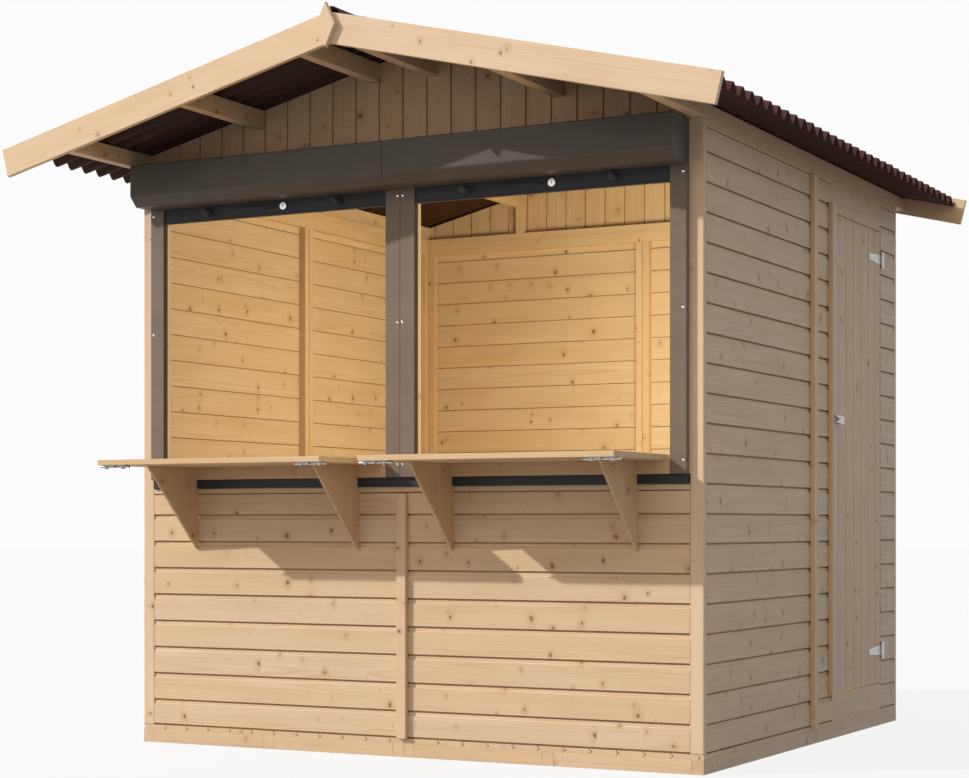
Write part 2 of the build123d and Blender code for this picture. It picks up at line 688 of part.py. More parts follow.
def bolt(centre, step, front):
    """A flat slide bolt under a front corner of a counter: plate, bar, two keepers and a knob."""
    end = centre + step * (COUNTER_WIDTH / 2 - BOLT_FROM_END)
    start = end - step * BOLT_PLATE_LENGTH
    y = front + BOLT_FROM_FRONT
    low = COUNTER_UNDERSIDE - BOLT_PLATE_THICKNESS
    half = BOLT_PLATE_WIDTH / 2
    piece = block((start, end), (y - half, y + half), (low, COUNTER_UNDERSIDE))
    tip = end + step * BOLT_BAR_REACH
    level = low - BOLT_BAR_DIAMETER / 2 + BOLT_BAR_SUNK
    bar = Cylinder(BOLT_BAR_DIAMETER / 2, BOLT_BAR_LENGTH)
    piece = piece + Pos(tip - step * BOLT_BAR_LENGTH / 2, y, level) * Rot(0, 90, 0) * bar
    half = BOLT_KEEPER_WIDTH / 2
    for near in (end - step * BOLT_KEEPER_LENGTH, start + step * BOLT_KEEPER_LENGTH):
        x = (near, near + step * BOLT_KEEPER_LENGTH / 2)
        bottom = low - BOLT_BAR_DIAMETER - BOLT_PLATE_THICKNESS
        piece = piece + block(x, (y - half, y + half), (bottom, low))
    knob = Pos((start + end) / 2, y - BOLT_KNOB_LENGTH / 2, level) * Rot(90, 0, 0)
    return piece + knob * Cylinder(BOLT_KNOB_DIAMETER / 2, BOLT_KNOB_LENGTH)


def door_leaf():
    """Upright tongued boards with a V groove at each joint, held by three ledges behind."""
    low = DOOR_BOTTOM + DOOR_GAP
    high = DOOR_TOP - DOOR_GAP
    latch = LATCH_Y + DOOR_GAP
    hinge = HINGE_Y - DOOR_GAP
    face = HALF_WIDTH
    back = face - BOARD_THICKNESS
    half = DOOR_GROOVE_WIDTH / 2
    joints = int((hinge - latch) // DOOR_BOARD)
    first = (latch + hinge - (joints - 1) * DOOR_BOARD) / 2
    points = [(back, latch), (face, latch)]
    for index in range(joints):
        y = first + index * DOOR_BOARD
        points += [(face, y - half), (face - DOOR_GROOVE_DEPTH, y), (face, y + half)]
    points += [(face, hinge), (back, hinge)]
    leaf = Pos(0, 0, low) * extrude(make_face(Polyline(*points, close=True)), amount=high - low)
    ledge_y = (latch + LEDGE_INSET, hinge - LEDGE_INSET)
    top = high - LEDGE_INSET - LEDGE_HEIGHT
    bottom = low + LEDGE_INSET
    for level in (bottom, (bottom + top) / 2, top):
        leaf = leaf + block((back - LEDGE_THICKNESS, back), ledge_y, (level, level + LEDGE_HEIGHT))
    return leaf


def hinge_strap(level):
    """The moving half of a hinge: a tapering strap on the leaf with the middle knuckle."""
    half = KNUCKLE_HEIGHT / 2
    knuckle_half = half * HINGE_KNUCKLE_SHARE
    shoulder = HINGE_Y - KNUCKLE_RADIUS - 2 * KNUCKLE_GAP
    edge = [
        (HINGE_Y, knuckle_half),
        (shoulder, knuckle_half),
        (shoulder, HINGE_STRAP_ROOT / 2),
        (HINGE_Y - HINGE_STRAP_LENGTH, HINGE_STRAP_TIP / 2),
    ]
    points = [(y, level + z) for y, z in edge] + [(y, level - z) for y, z in reversed(edge)]
    plate = outline_yz(points, HALF_WIDTH, HALF_WIDTH + HINGE_PLATE)
    axis = Pos(HALF_WIDTH + KNUCKLE_RADIUS, HINGE_Y, level)
    strap = plate + axis * Cylinder(KNUCKLE_RADIUS, 2 * knuckle_half)
    return strap - axis * Cylinder(HINGE_PIN_RADIUS + HINGE_CLEARANCE, KNUCKLE_HEIGHT)


def hinge_frame(level):
    """The fixed half: a plate on the wall with the outer knuckles and the pin."""
    half = KNUCKLE_HEIGHT / 2
    axis_x = HALF_WIDTH + KNUCKLE_RADIUS
    start = HINGE_Y + KNUCKLE_RADIUS + 2 * KNUCKLE_GAP
    x = (HALF_WIDTH, HALF_WIDTH + HINGE_PLATE)
    fixed = block(x, (start, start + HINGE_FRAME_LEAF), (level - half, level + half))
    fixed = fixed + Pos(axis_x, HINGE_Y, level) * Cylinder(HINGE_PIN_RADIUS, KNUCKLE_HEIGHT)
    for end in SIDES:
        inner = level + end * (half * HINGE_KNUCKLE_SHARE + KNUCKLE_GAP)
        outer = level + end * half
        knuckle = Cylinder(KNUCKLE_RADIUS, abs(outer - inner))
        fixed = fixed + Pos(axis_x, HINGE_Y, (inner + outer) / 2) * knuckle
        fixed = fixed + block(x, (HINGE_Y, start), (inner, outer))
    return fixed


def hasp():
    """A strap cranked over the jamb strip, with a slot for the staple."""
    low = HASP_LEVEL - HASP_HEIGHT / 2
    high = HASP_LEVEL + HASP_HEIGHT / 2
    near = HALF_WIDTH
    far = HALF_WIDTH + STRIP_THICKNESS + HASP_CLEARANCE
    start = LATCH_Y + HASP_PLATE_START
    crank = LATCH_Y + HASP_PLATE_START - STRIP_THICKNESS
    end = LATCH_Y - HASP_OVER_STRIP
    thick = HASP_THICKNESS
    points = [
        (near, start + HASP_PLATE_LENGTH),
        (near, start),
        (far, crank),
        (far, end),
        (far + thick, end),
        (far + thick, crank + thick / 2),
        (near + thick, start + thick / 2),
        (near + thick, start + HASP_PLATE_LENGTH),
    ]
    strap = Pos(0, 0, low) * extrude(make_face(Polyline(*points, close=True)), amount=high - low)
    slot_y = (staple_y() - HASP_SLOT_LENGTH / 2, staple_y() + HASP_SLOT_LENGTH / 2)
    slot_z = (HASP_LEVEL - HASP_SLOT_HEIGHT / 2, HASP_LEVEL + HASP_SLOT_HEIGHT / 2)
    return strap - block((far - thick, far + 2 * thick), slot_y, slot_z)


def staple_y():
    """The staple stands on the middle of the jamb strip."""
    return LATCH_Y - JAMB_STRIP_WIDTH / 2


def hasp_staple():
    """A plate on the jamb strip with a bent rod that stands out through the hasp's slot."""
    face = HALF_WIDTH + STRIP_THICKNESS
    y = (staple_y() - STAPLE_PLATE_WIDTH / 2, staple_y() + STAPLE_PLATE_WIDTH / 2)
    z = (HASP_LEVEL - HASP_HEIGHT / 2, HASP_LEVEL + HASP_HEIGHT / 2)
    plate = block((face, face + HASP_THICKNESS), y, z)
    reach = STAPLE_REACH - STAPLE_WIDTH / 2
    half = STAPLE_WIDTH / 2
    path = [
        Line((face, staple_y() - half, HASP_LEVEL), (face + reach, staple_y() - half, HASP_LEVEL)),
        ThreePointArc(
            (face + reach, staple_y() - half, HASP_LEVEL),
            (face + reach + half, staple_y(), HASP_LEVEL),
            (face + reach, staple_y() + half, HASP_LEVEL),
        ),
        Line((face + reach, staple_y() + half, HASP_LEVEL), (face, staple_y() + half, HASP_LEVEL)),
    ]
    wire = Wire(path)
    start = Plane(origin=wire @ 0, z_dir=wire % 0)
    return plate + sweep(start * Circle(STAPLE_DIAMETER / 2), path=wire)


def door_pieces():
    return {
        "door_leaf": [door_leaf()],
        "door_hinge_straps": [hinge_strap(level) for level in (LOW_HINGE_HEIGHT, HIGH_HINGE_HEIGHT)],
        "door_hinge_pins": [hinge_frame(level) for level in (LOW_HINGE_HEIGHT, HIGH_HINGE_HEIGHT)],
        "hasp": [hasp()],
        "hasp_staple": [hasp_staple()],
    }


def build():
    nodes = {}
    for part in (
        floor_pieces(),
        front_pieces(),
        left_wall_pieces(),
        rear_wall_pieces(),
        right_wall_pieces(),
        cover_strips(),
        framing(),
        gables(),
        roof_pieces(),
        shutter_pieces(),
        counter_pieces(),
        door_pieces(),
    ):
        nodes.update(part)
    return nodes


os.makedirs("parts", exist_ok=True)
for name, solids in build().items():
    export_step(Compound(children=solids) if len(solids) > 1 else solids[0], f"parts/{name}.step")
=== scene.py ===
"""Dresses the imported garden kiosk: boards, framing, roof, shutters, counters, door, light and camera."""

import math
import random

import bmesh
import bpy
from bpy.props import FloatProperty, FloatVectorProperty, IntProperty, PointerProperty
from mathutils import Matrix, Vector


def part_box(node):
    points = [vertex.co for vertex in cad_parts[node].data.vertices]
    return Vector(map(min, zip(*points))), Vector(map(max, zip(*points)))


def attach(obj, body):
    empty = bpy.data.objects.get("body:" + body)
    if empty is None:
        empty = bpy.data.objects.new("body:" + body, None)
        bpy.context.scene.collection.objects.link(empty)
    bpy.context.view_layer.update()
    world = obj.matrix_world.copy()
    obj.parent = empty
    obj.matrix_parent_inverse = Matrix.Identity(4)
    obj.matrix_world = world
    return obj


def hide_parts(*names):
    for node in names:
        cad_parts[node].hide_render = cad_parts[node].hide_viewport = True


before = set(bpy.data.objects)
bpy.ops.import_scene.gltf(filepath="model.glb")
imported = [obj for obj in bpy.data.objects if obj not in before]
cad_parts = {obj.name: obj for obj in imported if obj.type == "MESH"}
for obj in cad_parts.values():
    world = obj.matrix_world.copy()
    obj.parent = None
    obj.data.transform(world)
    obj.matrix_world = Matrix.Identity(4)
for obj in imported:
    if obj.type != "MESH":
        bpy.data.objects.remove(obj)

bl_info = {
    "name": "Garden kiosk",
    "version": (1, 0, 0),
    "blender": (4, 5, 0),
    "location": "View3D > Sidebar > Kiosk",
    "description": "Dresses a packed timber kiosk with boards, roof sheets, metalwork, light and a camera",
    "category": "Object",
}

X_AXIS = Vector((1, 0, 0))
Y_AXIS = Vector((0, 1, 0))
Z_AXIS = Vector((0, 0, 1))
SIDES = (-1, 1)
WHITE = (1.0, 1.0, 1.0, 1.0)

# Places that the frame gives, in metres.
FLOOR_LOW, FLOOR_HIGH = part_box("floor_boards")
FLOOR_TOP = FLOOR_HIGH.z
HALF_WIDTH = FLOOR_HIGH.x
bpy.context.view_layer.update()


def length_setting(name, description, default):
    """A size in metres."""
    return FloatProperty(name=name, description=description, default=default, unit="LENGTH")


def angle_setting(name, description, degrees):
    return FloatProperty(name=name, description=description, default=math.radians(degrees), subtype="ANGLE")


def colour_setting(name, description, default):
    return FloatVectorProperty(name=name, description=description, default=default, subtype="COLOR", size=3)


class BoardSettings(bpy.types.PropertyGroup):
    """Sizes and colours of the timber."""

    cover: length_setting("Siding cover", "Height of wall that one siding board covers", 0.090)
    thickness: length_setting(
        "Board thickness", "Thickness of siding, gable and door boards", 0.017)
    cove_height: length_setting(
        "Cove height", "Height of the hollow at the top of a siding board", 0.017)
    cove_depth: length_setting("Cove depth", "Depth of that hollow under the next board", 0.0046)
    shadow_gap: length_setting(
        "Shadow gap", "Height of the rebate between the hollow and the next board", 0.0054)
    gable_gap: length_setting(
        "Gable gap", "Open joint between two gable boards, in front of the tongue", 0.0050)
    gable_cover: length_setting(
        "Gable cover", "Width of gable that one upright board covers", 0.0883)
    floor_cover: length_setting("Floorboard cover", "Width of floor that one board covers", 0.089)
    door_cover: length_setting("Door board cover", "Width of door that one board covers", 0.086)
    eased: length_setting("Eased edge", "Round on the edges of planed timber", 0.0012)
    post_round: length_setting("Post round", "Round on the edges of the corner posts", 0.004)
    knot_spacing: length_setting("Knot spacing", "Usual distance between two knots", 0.092)
    ring_spacing: length_setting("Ring spacing", "Width of one growth ring", 0.0042)
    pale: colour_setting("Pale wood", "Early growth of the spruce", (0.708, 0.540, 0.380))
    deep: colour_setting("Deep wood", "Late growth of the spruce", (0.555, 0.371, 0.212))
    knot: colour_setting("Knot", "Heart of a knot", (0.185, 0.088, 0.040))
    # Painted shade: the colour laid on wood down in the joints and on the tongues behind the boards, where
    # shade falls.
    groove: colour_setting(
        "Groove", "Dark wood down in the joints between boards", (0.42, 0.255, 0.125))


class RoofSettings(bpy.types.PropertyGroup):
    """Sizes and colour of the corrugated sheets."""

    slope: angle_setting("Slope", "Pitch of both roof slopes", 13.7)
    wave_pitch: length_setting("Wave pitch", "Distance from crest to crest", 0.076)
    wave_height: length_setting("Wave height", "Height from valley to crest", 0.031)
    flank: angle_setting("Flank angle", "Steepness of a wave's straight flank", 54)
    thickness: length_setting("Sheet thickness", "Thickness of the sheet", 0.003)
    sheets: IntProperty(
        name="Sheets", description="Sheets laid side by side on each slope", default=3)
    colour: colour_setting(
        "Sheet colour", "Colour of the bitumen sheet's upper face", (0.074, 0.021, 0.024))
    # Partly the bare bitumen of the lower face and partly painted shade: set darker for the shade under the
    # roof.
    bare_and_shaded_underside: colour_setting(
        "Underside colour", "Bare bitumen on the sheet's lower face", (0.038, 0.017, 0.011))


class MetalSettings(bpy.types.PropertyGroup):
    """Colours of the metalwork and rubber."""

    # Painted light and shade: boxes and guides share one powder coat, set darker on the boxes for the eave's
    # shade over them and lighter and warmer on the guides for the sun on them.
    coat: colour_setting(
        "Dark coat", "Powder coat of the shutter boxes", (0.084, 0.071, 0.062))
    guide: colour_setting("Guide coat", "Powder coat of the guide rails", (0.168, 0.131, 0.104))
    slat: colour_setting("Slat coat", "Coat of the end slats and the sill", (0.030, 0.032, 0.036))
    zinc: colour_setting("Zinc", "Hinges, hasp and slide bolts", (0.50, 0.49, 0.475))
    rubber: colour_setting("Rubber", "Shutter stops and guide seals", (0.018, 0.018, 0.019))
    fold: length_setting("Fold radius", "Radius at the folded edges of the shutter boxes", 0.004)
    screw: length_setting("Screw radius", "Radius of a screw head", 0.0045)


class StudioSettings(bpy.types.PropertyGroup):
    """Light, floor and camera."""

    sun: FloatProperty(name="Sun", description="Strength of the key light", default=2.85)
    sun_colour: colour_setting("Sun colour", "Colour of the key light", (1.0, 0.975, 0.945))
    sun_angle: angle_setting(
        "Sun size", "Apparent size of the key light, which softens its shadows", 0.8)
    sky: FloatProperty(name="Sky", description="Strength of the soft light all round", default=1.02)
    sky_warm: colour_setting(
        "Warm sky", "Colour of the soft light from the front left", (1.0, 0.87, 0.72))
    sky_cool: colour_setting(
        "Cool sky", "Colour of the soft light from the rear right", (0.32, 0.40, 0.51))
    inside: FloatProperty(
        name="Inside light", description="Power of the soft lamp under the roof",
        default=44.0, unit="POWER")
    inside_colour: colour_setting("Inside colour", "Colour of that lamp", (0.98, 1.0, 0.73))
    floor: colour_setting("Floor", "Colour of the studio floor", (0.28, 0.28, 0.28))
    lens: FloatProperty(name="Lens", description="Focal length in millimetres", default=76.33)
    rise: FloatProperty(name="Lens rise", description="Vertical shift of the lens", default=0.14097)


def settings(kind):
    """The scene's settings of one kind: board, roof, metal or studio."""
    return getattr(bpy.context.scene, f"kiosk_{kind}")


# Finishes


class Wire:
    """A shader value. Arithmetic on it adds the Math nodes that work it out."""

    def __init__(self, finish, socket):
        self.finish = finish
        self.socket = socket

    def maths(self, operation, *terms):
        return self.finish.node("ShaderNodeMath", {"operation": operation}, dict(enumerate(terms)))

    def __add__(self, other):
        return self.maths("ADD", self, other)

    def __radd__(self, other):
        return self.maths("ADD", other, self)

    def __sub__(self, other):
        return self.maths("SUBTRACT", self, other)

    def __rsub__(self, other):
        return self.maths("SUBTRACT", other, self)

    def __mul__(self, other):
        return self.maths("MULTIPLY", self, other)

    def __rmul__(self, other):
        return self.maths("MULTIPLY", other, self)

    def __truediv__(self, other):
        return self.maths("DIVIDE", self, other)

    def __rtruediv__(self, other):
        return self.maths("DIVIDE", other, self)

    def __pow__(self, other):
        return self.maths("POWER", self, other)

    def __rpow__(self, other):
        return self.maths("POWER", other, self)

    def fraction(self):
        return self.maths("FRACT", self)


class Shading:
    """The node tree of a material or of the world."""

    def __init__(self, owner):
        owner.use_nodes = True
        self.nodes = owner.node_tree.nodes
        self.links = owner.node_tree.links

    def join(self, value, socket):
        """Links a wire to a socket, or sets the socket to a plain value."""
        if isinstance(value, Wire):
            self.links.new(value.socket, socket)
        else:
            socket.default_value = value

    def node(self, kind, choices, inputs, output=0):
        """Adds one node: its settings first, then the values or links of its sockets."""
        made = self.nodes.new(kind)
        for key, value in choices.items():
            setattr(made, key, value)
        for key, value in inputs.items():
            self.join(value, made.inputs[key])
        return Wire(self, made.outputs[output])

    def other(self, wire, output):
        """Another output of the node that a wire comes from."""
        return Wire(self, wire.socket.node.outputs[output])

    def channel(self, colour, name):
        """The Red, Green or Blue share of a colour."""
        return self.node("ShaderNodeSeparateColor", {}, {0: colour}, name)

    def stretch(self, vector, scale):
        """A place with each of its parts scaled, which draws a pattern out or presses it together."""
        return self.node("ShaderNodeVectorMath", {"operation": "MULTIPLY"}, {0: vector, 1: scale})

    def noise(self, vector, scale=1.0, detail=2.0, roughness=0.5):
        inputs = {"Vector": vector, "Scale": scale, "Detail": detail, "Roughness": roughness}
        return self.node("ShaderNodeTexNoise", {}, inputs)

    def ramp(self, value, low, high, start=0.0, end=1.0):
        """A soft step from start to end while value goes from low to high."""
        inputs = {"Value": value, "From Min": low, "From Max": high, "To Min": start, "To Max": end}
        return self.node("ShaderNodeMapRange", {"interpolation_type": "SMOOTHSTEP"}, inputs)

    def blend(self, share, first, second):
        """The first colour where share is 0, and the second where it is 1."""
        colours = {0: share, 6: first, 7: second}
        return self.node("ShaderNodeMix", {"data_type": "RGBA"}, colours, output=2)

    def bump(self, height, strength, distance):
        inputs = {"Height": height, "Strength": strength, "Distance": distance}
        return self.node("ShaderNodeBump", {}, inputs)

    def background_seen(self):
        """1 where the camera, or a reflection in metal, sees this surface, and 0 for the light it gives."""
        camera = self.node("ShaderNodeLightPath", {}, {}, "Is Camera Ray")
        return camera + self.other(camera, "Is Glossy Ray") + self.other(camera, "Is Transmission Ray")


class Finish(Shading):
    """A material that is built node by node on one Principled shader."""

    def __init__(self, name):
        self.material = bpy.data.materials.new(name)
        super().__init__(self.material)
        self.shader = self.nodes["Principled BSDF"]

    def place(self):
        """Where a point lies in the scene, in metres."""
        return self.node("ShaderNodeTexCoord", {}, {}, "Object")

    def attribute(self, name, output="Fac"):
        """What the mesh stores on its vertices under a name."""
        return self.node("ShaderNodeAttribute", {"attribute_name": name}, {}, output)

    def surface(self, **sockets):
        """Sets or links the shader's own sockets. An underscore stands for a space."""
        for key, value in sockets.items():
            self.join(value, self.shader.inputs[key.replace("_", " ")])
        return self.material


def opaque(colour):
    """A colour as a socket takes it."""
    return (*colour, 1.0)


def tinted(colour, factor):
    """A colour with each of its channels scaled, as a socket takes it."""
    return (*(part * scale for part, scale in zip(colour, factor)), 1.0)


KNOT_CELLS = {"voronoi_dimensions": "2D", "feature": "F1"}


def round_knots(f, grain, wobble, amount):
    """Hearts and halos of knots: one in some cells of a plane pattern, each with its own size and depth."""
    spacing = settings("board").knot_spacing
    where = {"Vector": f.stretch(grain, (1.0, 0.78, 1.0)), "Scale": 1 / spacing}
    cell = f.node("ShaderNodeTexVoronoi", KNOT_CELLS, where)
    reach = cell * spacing + (wobble - 0.5) * 0.011
    chance = f.channel(f.other(cell, "Color"), "Red")
    dark = f.ramp(f.other(chance, "Green"), 0.0, 0.9, 0.35, 1.0)
    size = f.ramp(chance, 0.36, 1.0, 0.0, 0.0068 * amount)
    heart = f.ramp(reach, size * 1.3, size * 0.35) * dark
    halo = f.ramp(reach, size * 4.6, size * 0.8) * (0.35 + dark * 0.65)
    return heart, halo


def spike_knots(f, grain, wobble, amount):
    """Narrow smudges across the board, further apart than the round knots."""
    spacing = settings("board").knot_spacing / 0.62
    where = {"Vector": f.stretch(grain, (1.0, 0.22, 1.0)), "Scale": 1 / spacing}
    cell = f.node("ShaderNodeTexVoronoi", KNOT_CELLS, where)
    chance = f.channel(f.other(cell, "Color"), "Blue")
    width = f.ramp(chance, 0.52, 1.0, 0.0, 0.0042 * amount)
    return f.ramp(cell * spacing + (wobble - 0.5) * 0.008, width * 1.8, width * 0.2)


def late_wood(f, grain, tone, halo):
    """The dark part of each growth ring around a pith outside the board, bent around the knots."""
    across = f.node("ShaderNodeSeparateXYZ", {}, {0: grain}, "Y")
    depth = f.other(across, "Z")
    drift = f.noise(f.stretch(grain, (0.9, 0.0, 0.0)), detail=1.0) - 0.5
    sway = f.noise(f.stretch(grain, (2.2, 9.0, 9.0)), detail=1.0) - 0.5
    sideways = across - ((tone - 0.5) * 0.13 + drift * 0.05)
    inward = depth + (0.012 + (tone * 7.31).fraction() * 0.05 + drift * 0.03)
    radius = (sideways * sideways + inward * inward) ** 0.5
    ring = ((radius + sway * 0.006 + halo * 0.0035) / settings("board").ring_spacing).fraction()
    return f.ramp(ring, 0.35, 0.92) * f.ramp(ring, 1.0, 0.93)


def spruce(name, tint=(1.0, 1.0, 1.0), knots=1.0):
    """Planed spruce: growth rings, fibres, knots, a tone for each board, and painted shade down in the
    joints.
    """
    board = settings("board")
    pale = tinted(board.pale, tint)
    deep = tinted(board.deep, tint)
    f = Finish(name)
    grain = f.attribute("grain", "Vector")
    tone = f.attribute("tone")
    wobble = f.noise(grain, 75.0)
    heart, halo = round_knots(f, grain, wobble, knots)
    spur = spike_knots(f, grain, wobble, knots)
    late = late_wood(f, grain, tone, halo)
    fibre = f.noise(f.stretch(grain, (5.0, 420.0, 420.0)))
    streak = f.noise(f.stretch(grain, (1.3, 42.0, 42.0)))
    cloud = f.noise(f.stretch(grain, (2.5, 10.0, 10.0)))
    colour = f.blend(late * 0.42 + (streak - 0.44) * 0.90 + (fibre - 0.5) * 0.45, pale, deep)
    # Each layer: how much of it shows, and its colour.
    for share, layer in (
        ((tone * 3.7).fraction() * 0.42, tinted(deep, (1.18, 1.22, 1.15))),
        (f.ramp(cloud, 0.35, 0.75) * 0.32, deep),
        (halo * 0.34, tinted(board.deep, (0.80, 0.66, 0.50))),
        (spur * 0.36, tinted(board.knot, (1.7, 1.8, 1.9))),
        (heart * 0.86, opaque(board.knot)),
        # Painted shade down in the joints and on the tongues.
        (f.attribute("groove") * 0.9, opaque(board.groove)),
    ):
        colour = f.blend(share, colour, layer)
    height = late * -0.35 + fibre * 0.5 + heart * 0.6
    return f.surface(
        Base_Color=colour,
        Roughness=0.50 + fibre * 0.16 + heart * -0.12,
        Normal=f.bump(height, 0.35, 0.0006),
        Specular_IOR_Level=0.32,
    )


def sheet_finish(name):
    """Pressed bitumen fibre sheet: matt, mottled and dusty above; below, bare bitumen set darker as painted
    shade.
    """
    roof = settings("roof")
    f = Finish(name)
    place = f.place()
    grit = f.noise(place, 900.0)
    mottle = f.noise(place, 38.0, 3.0, 0.6)
    patch = f.noise(place, 4.0)
    spots = f.ramp(mottle, 0.35, 0.7)
    dusty = tinted(roof.colour, (1.75, 2.1, 2.3))
    colour = f.blend(spots, opaque(roof.colour), tinted(roof.colour, (0.62, 0.60, 0.62)))
    colour = f.blend(f.ramp(grit, 0.52, 0.72) * 0.45, colour, dusty)
    colour = f.blend(f.ramp(patch, 0.42, 0.72) * 0.30, colour, dusty)
    bare = f.blend(spots, opaque(roof.bare_and_shaded_underside), tinted(roof.bare_and_shaded_underside, (1.5, 1.4, 1.4)))
    # Downward faces: the bare bitumen, set darker still as painted shade.
    colour = f.blend(f.attribute("under"), colour, bare)
    return f.surface(
        Base_Color=colour,
        Roughness=0.72 + mottle * 0.2,
        Normal=f.bump(grit + mottle * 0.6, 0.5, 0.0011),
        Specular_IOR_Level=0.3,
    )


def coat_finish(name, kind):
    """Satin powder coat with a fine orange peel and faint handling marks."""
    paint = getattr(settings("metal"), kind)
    f = Finish(name)
    place = f.place()
    peel = f.noise(place, 700.0, 1.0)
    haze = f.noise(place, 6.0, 3.0, 0.6)
    smear = f.noise(f.stretch(place, (3.0, 3.0, 60.0)), detail=3.0)
    share = f.ramp(haze, 0.35, 0.75) * 0.5 + f.ramp(smear, 0.5, 0.8) * 0.25
    colour = f.blend(share, opaque(paint), tinted(paint, (1.25, 1.24, 1.22)))
    return f.surface(
        Base_Color=colour,
        Roughness=0.40 + haze * 0.14,
        Normal=f.bump(peel, 0.22, 0.0004),
        Specular_IOR_Level=0.28,
    )


def zinc_finish(name):
    """Galvanised steel with a soft spangle."""
    metal = settings("metal")
    f = Finish(name)
    place = f.place()
    spangle = f.node("ShaderNodeTexVoronoi", {"feature": "F1"}, {"Vector": place, "Scale": 240.0}, "Color")
    shade = f.channel(spangle, "Green")
    brush = f.noise(f.stretch(place, (40.0, 40.0, 900.0)))
    colour = f.blend(shade * 0.5, opaque(metal.zinc), tinted(metal.zinc, (0.72, 0.72, 0.72)))
    return f.surface(
        Base_Color=colour,
        Metallic=1.0,
        Roughness=0.30 + shade * 0.14 + brush * 0.08,
        Normal=f.bump(brush, 0.12, 0.0003),
    )


def bright_finish(name):
    """Nickel-plated screws and locks."""
    f = Finish(name)
    place = f.place()
    haze = f.noise(place, 180.0)
    colour = f.blend(haze * 0.4, (0.86, 0.86, 0.85, 1.0), (0.66, 0.66, 0.67, 1.0))
    return f.surface(Base_Color=colour, Metallic=1.0, Roughness=0.16 + haze * 0.16)


def rubber_finish(name):
    """Black rubber, slightly dusty."""
    metal = settings("metal")
    f = Finish(name)
    place = f.place()
    dust = f.noise(place, 320.0, 3.0, 0.6)
    colour = f.blend(f.ramp(dust, 0.45, 0.8) * 0.5, opaque(metal.rubber), (0.075, 0.073, 0.070, 1.0))
    return f.surface(Base_Color=colour, Roughness=0.55 + dust * 0.3, Normal=f.bump(dust, 0.2, 0.0004))


RECIPES = {
    "wall_wood": (spruce,),
    "gable_wood": (spruce, (0.99, 0.95, 0.90), 1.35),
    "frame_wood": (spruce, (1.0, 0.97, 0.92), 0.8),
    "trim_wood": (spruce, (1.03, 1.04, 1.05), 0.8),
    "counter_wood": (spruce, (1.0, 0.95, 0.86)),
    "floor_wood": (spruce, (0.98, 0.97, 0.95)),
    "bitumen_sheet": (sheet_finish,),
    # Painted light and shade: the boxes' coat darkened for the eave's shade, the guides' coat lightened and
    # warmed for the sun.
    "dark_coat": (coat_finish, "coat"),
    "slat_coat": (coat_finish, "slat"),
    "guide_coat": (coat_finish, "guide"),
    "zinc_plate": (zinc_finish,),
    "bright_plate": (bright_finish,),
    "black_rubber": (rubber_finish,),
}


def finish(name):
    """A finish by name, made the first time that it is asked for."""
    recipe, *details = RECIPES[name]
    return bpy.data.materials.get(name) or recipe(name, *details)


# Shapes


def cad_copy(*nodes):
    """The nodes' CAD meshes, merged into closed solids with their flat faces whole."""
    bm = bmesh.new()
    for node in nodes:
        bm.from_mesh(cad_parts[node].data)
    bmesh.ops.remove_doubles(bm, verts=bm.verts, dist=1e-5)
    bmesh.ops.dissolve_limit(bm, angle_limit=math.radians(1), verts=bm.verts, edges=bm.edges)
    return bm


def extent(corners):
    """The lowest and highest corner around some points."""
    low = Vector([min(corner[axis] for corner in corners) for axis in range(3)])
    high = Vector([max(corner[axis] for corner in corners) for axis in range(3)])
    return low, high


def solids(*nodes):
    """The (lowest, highest) corners of each separate solid in the nodes."""
    bm = cad_copy(*nodes)
    boxes = []
    unseen = set(bm.faces)
    while unseen:
        waiting = [unseen.pop()]
        corners = []
        while waiting:
            face = waiting.pop()
            corners += [vert.co.copy() for vert in face.verts]
            # Where two solids touch, an edge has more than two faces.
            for edge in face.edges:
                if len(edge.link_faces) == 2:
                    near = [other for other in edge.link_faces if other in unseen]
                    unseen.difference_update(near)
                    waiting += near
        low, high = extent(corners)
        if min(high - low) > 1e-4:
            boxes.append((low, high))
    bm.free()
    return sorted(boxes, key=lambda box: [round(part, 4) for part in (*box[0], *box[1])])


def islands(bm):
    """The separate shells of a mesh, in an order that doesn't change from run to run."""
    found = []
    unseen = set(bm.verts)
    while unseen:
        waiting = [unseen.pop()]
        shell = []
        while waiting:
            vert = waiting.pop()
            shell.append(vert)
            near = [edge.other_vert(vert) for edge in vert.link_edges]
            near = [other for other in near if other in unseen]
            unseen.difference_update(near)
            waiting += near
        found.append((shell, *extent([vert.co for vert in shell])))
    return sorted(found, key=lambda item: [round(part, 4) for part in (*item[1], *item[2])])


def mark_grain(bm, name, along=None):
    """Stores on each vertex where it lies in its own board: along it, across it and into it."""
    chance = random.Random(name)
    grain = bm.verts.layers.float_vector.new("grain")
    tone = bm.verts.layers.float.new("tone")
    for shell, low, high in islands(bm):
        axes = sorted((X_AXIS, Y_AXIS, Z_AXIS), key=lambda axis: -axis.dot(high - low))
        if along:
            axes = sorted(axes, key=lambda axis: -abs(axis.dot(along)))
            across = sorted(axes[1:], key=lambda axis: -axis.dot(high - low))
            across = [(axis - along * axis.dot(along)).normalized() for axis in across]
            axes = [along, *across]
        middle = (low + high) / 2
        start = chance.uniform(0, 60)
        shade = chance.random()
        for vert in shell:
            place = vert.co - middle
            vert[grain] = (place.dot(axes[0]) + start, place.dot(axes[1]), place.dot(axes[2]))
            vert[tone] = shade


def placed(name, data):
    """A new object in the scene."""
    made = bpy.data.objects.new(name, data)
    bpy.context.scene.collection.objects.link(made)
    return made


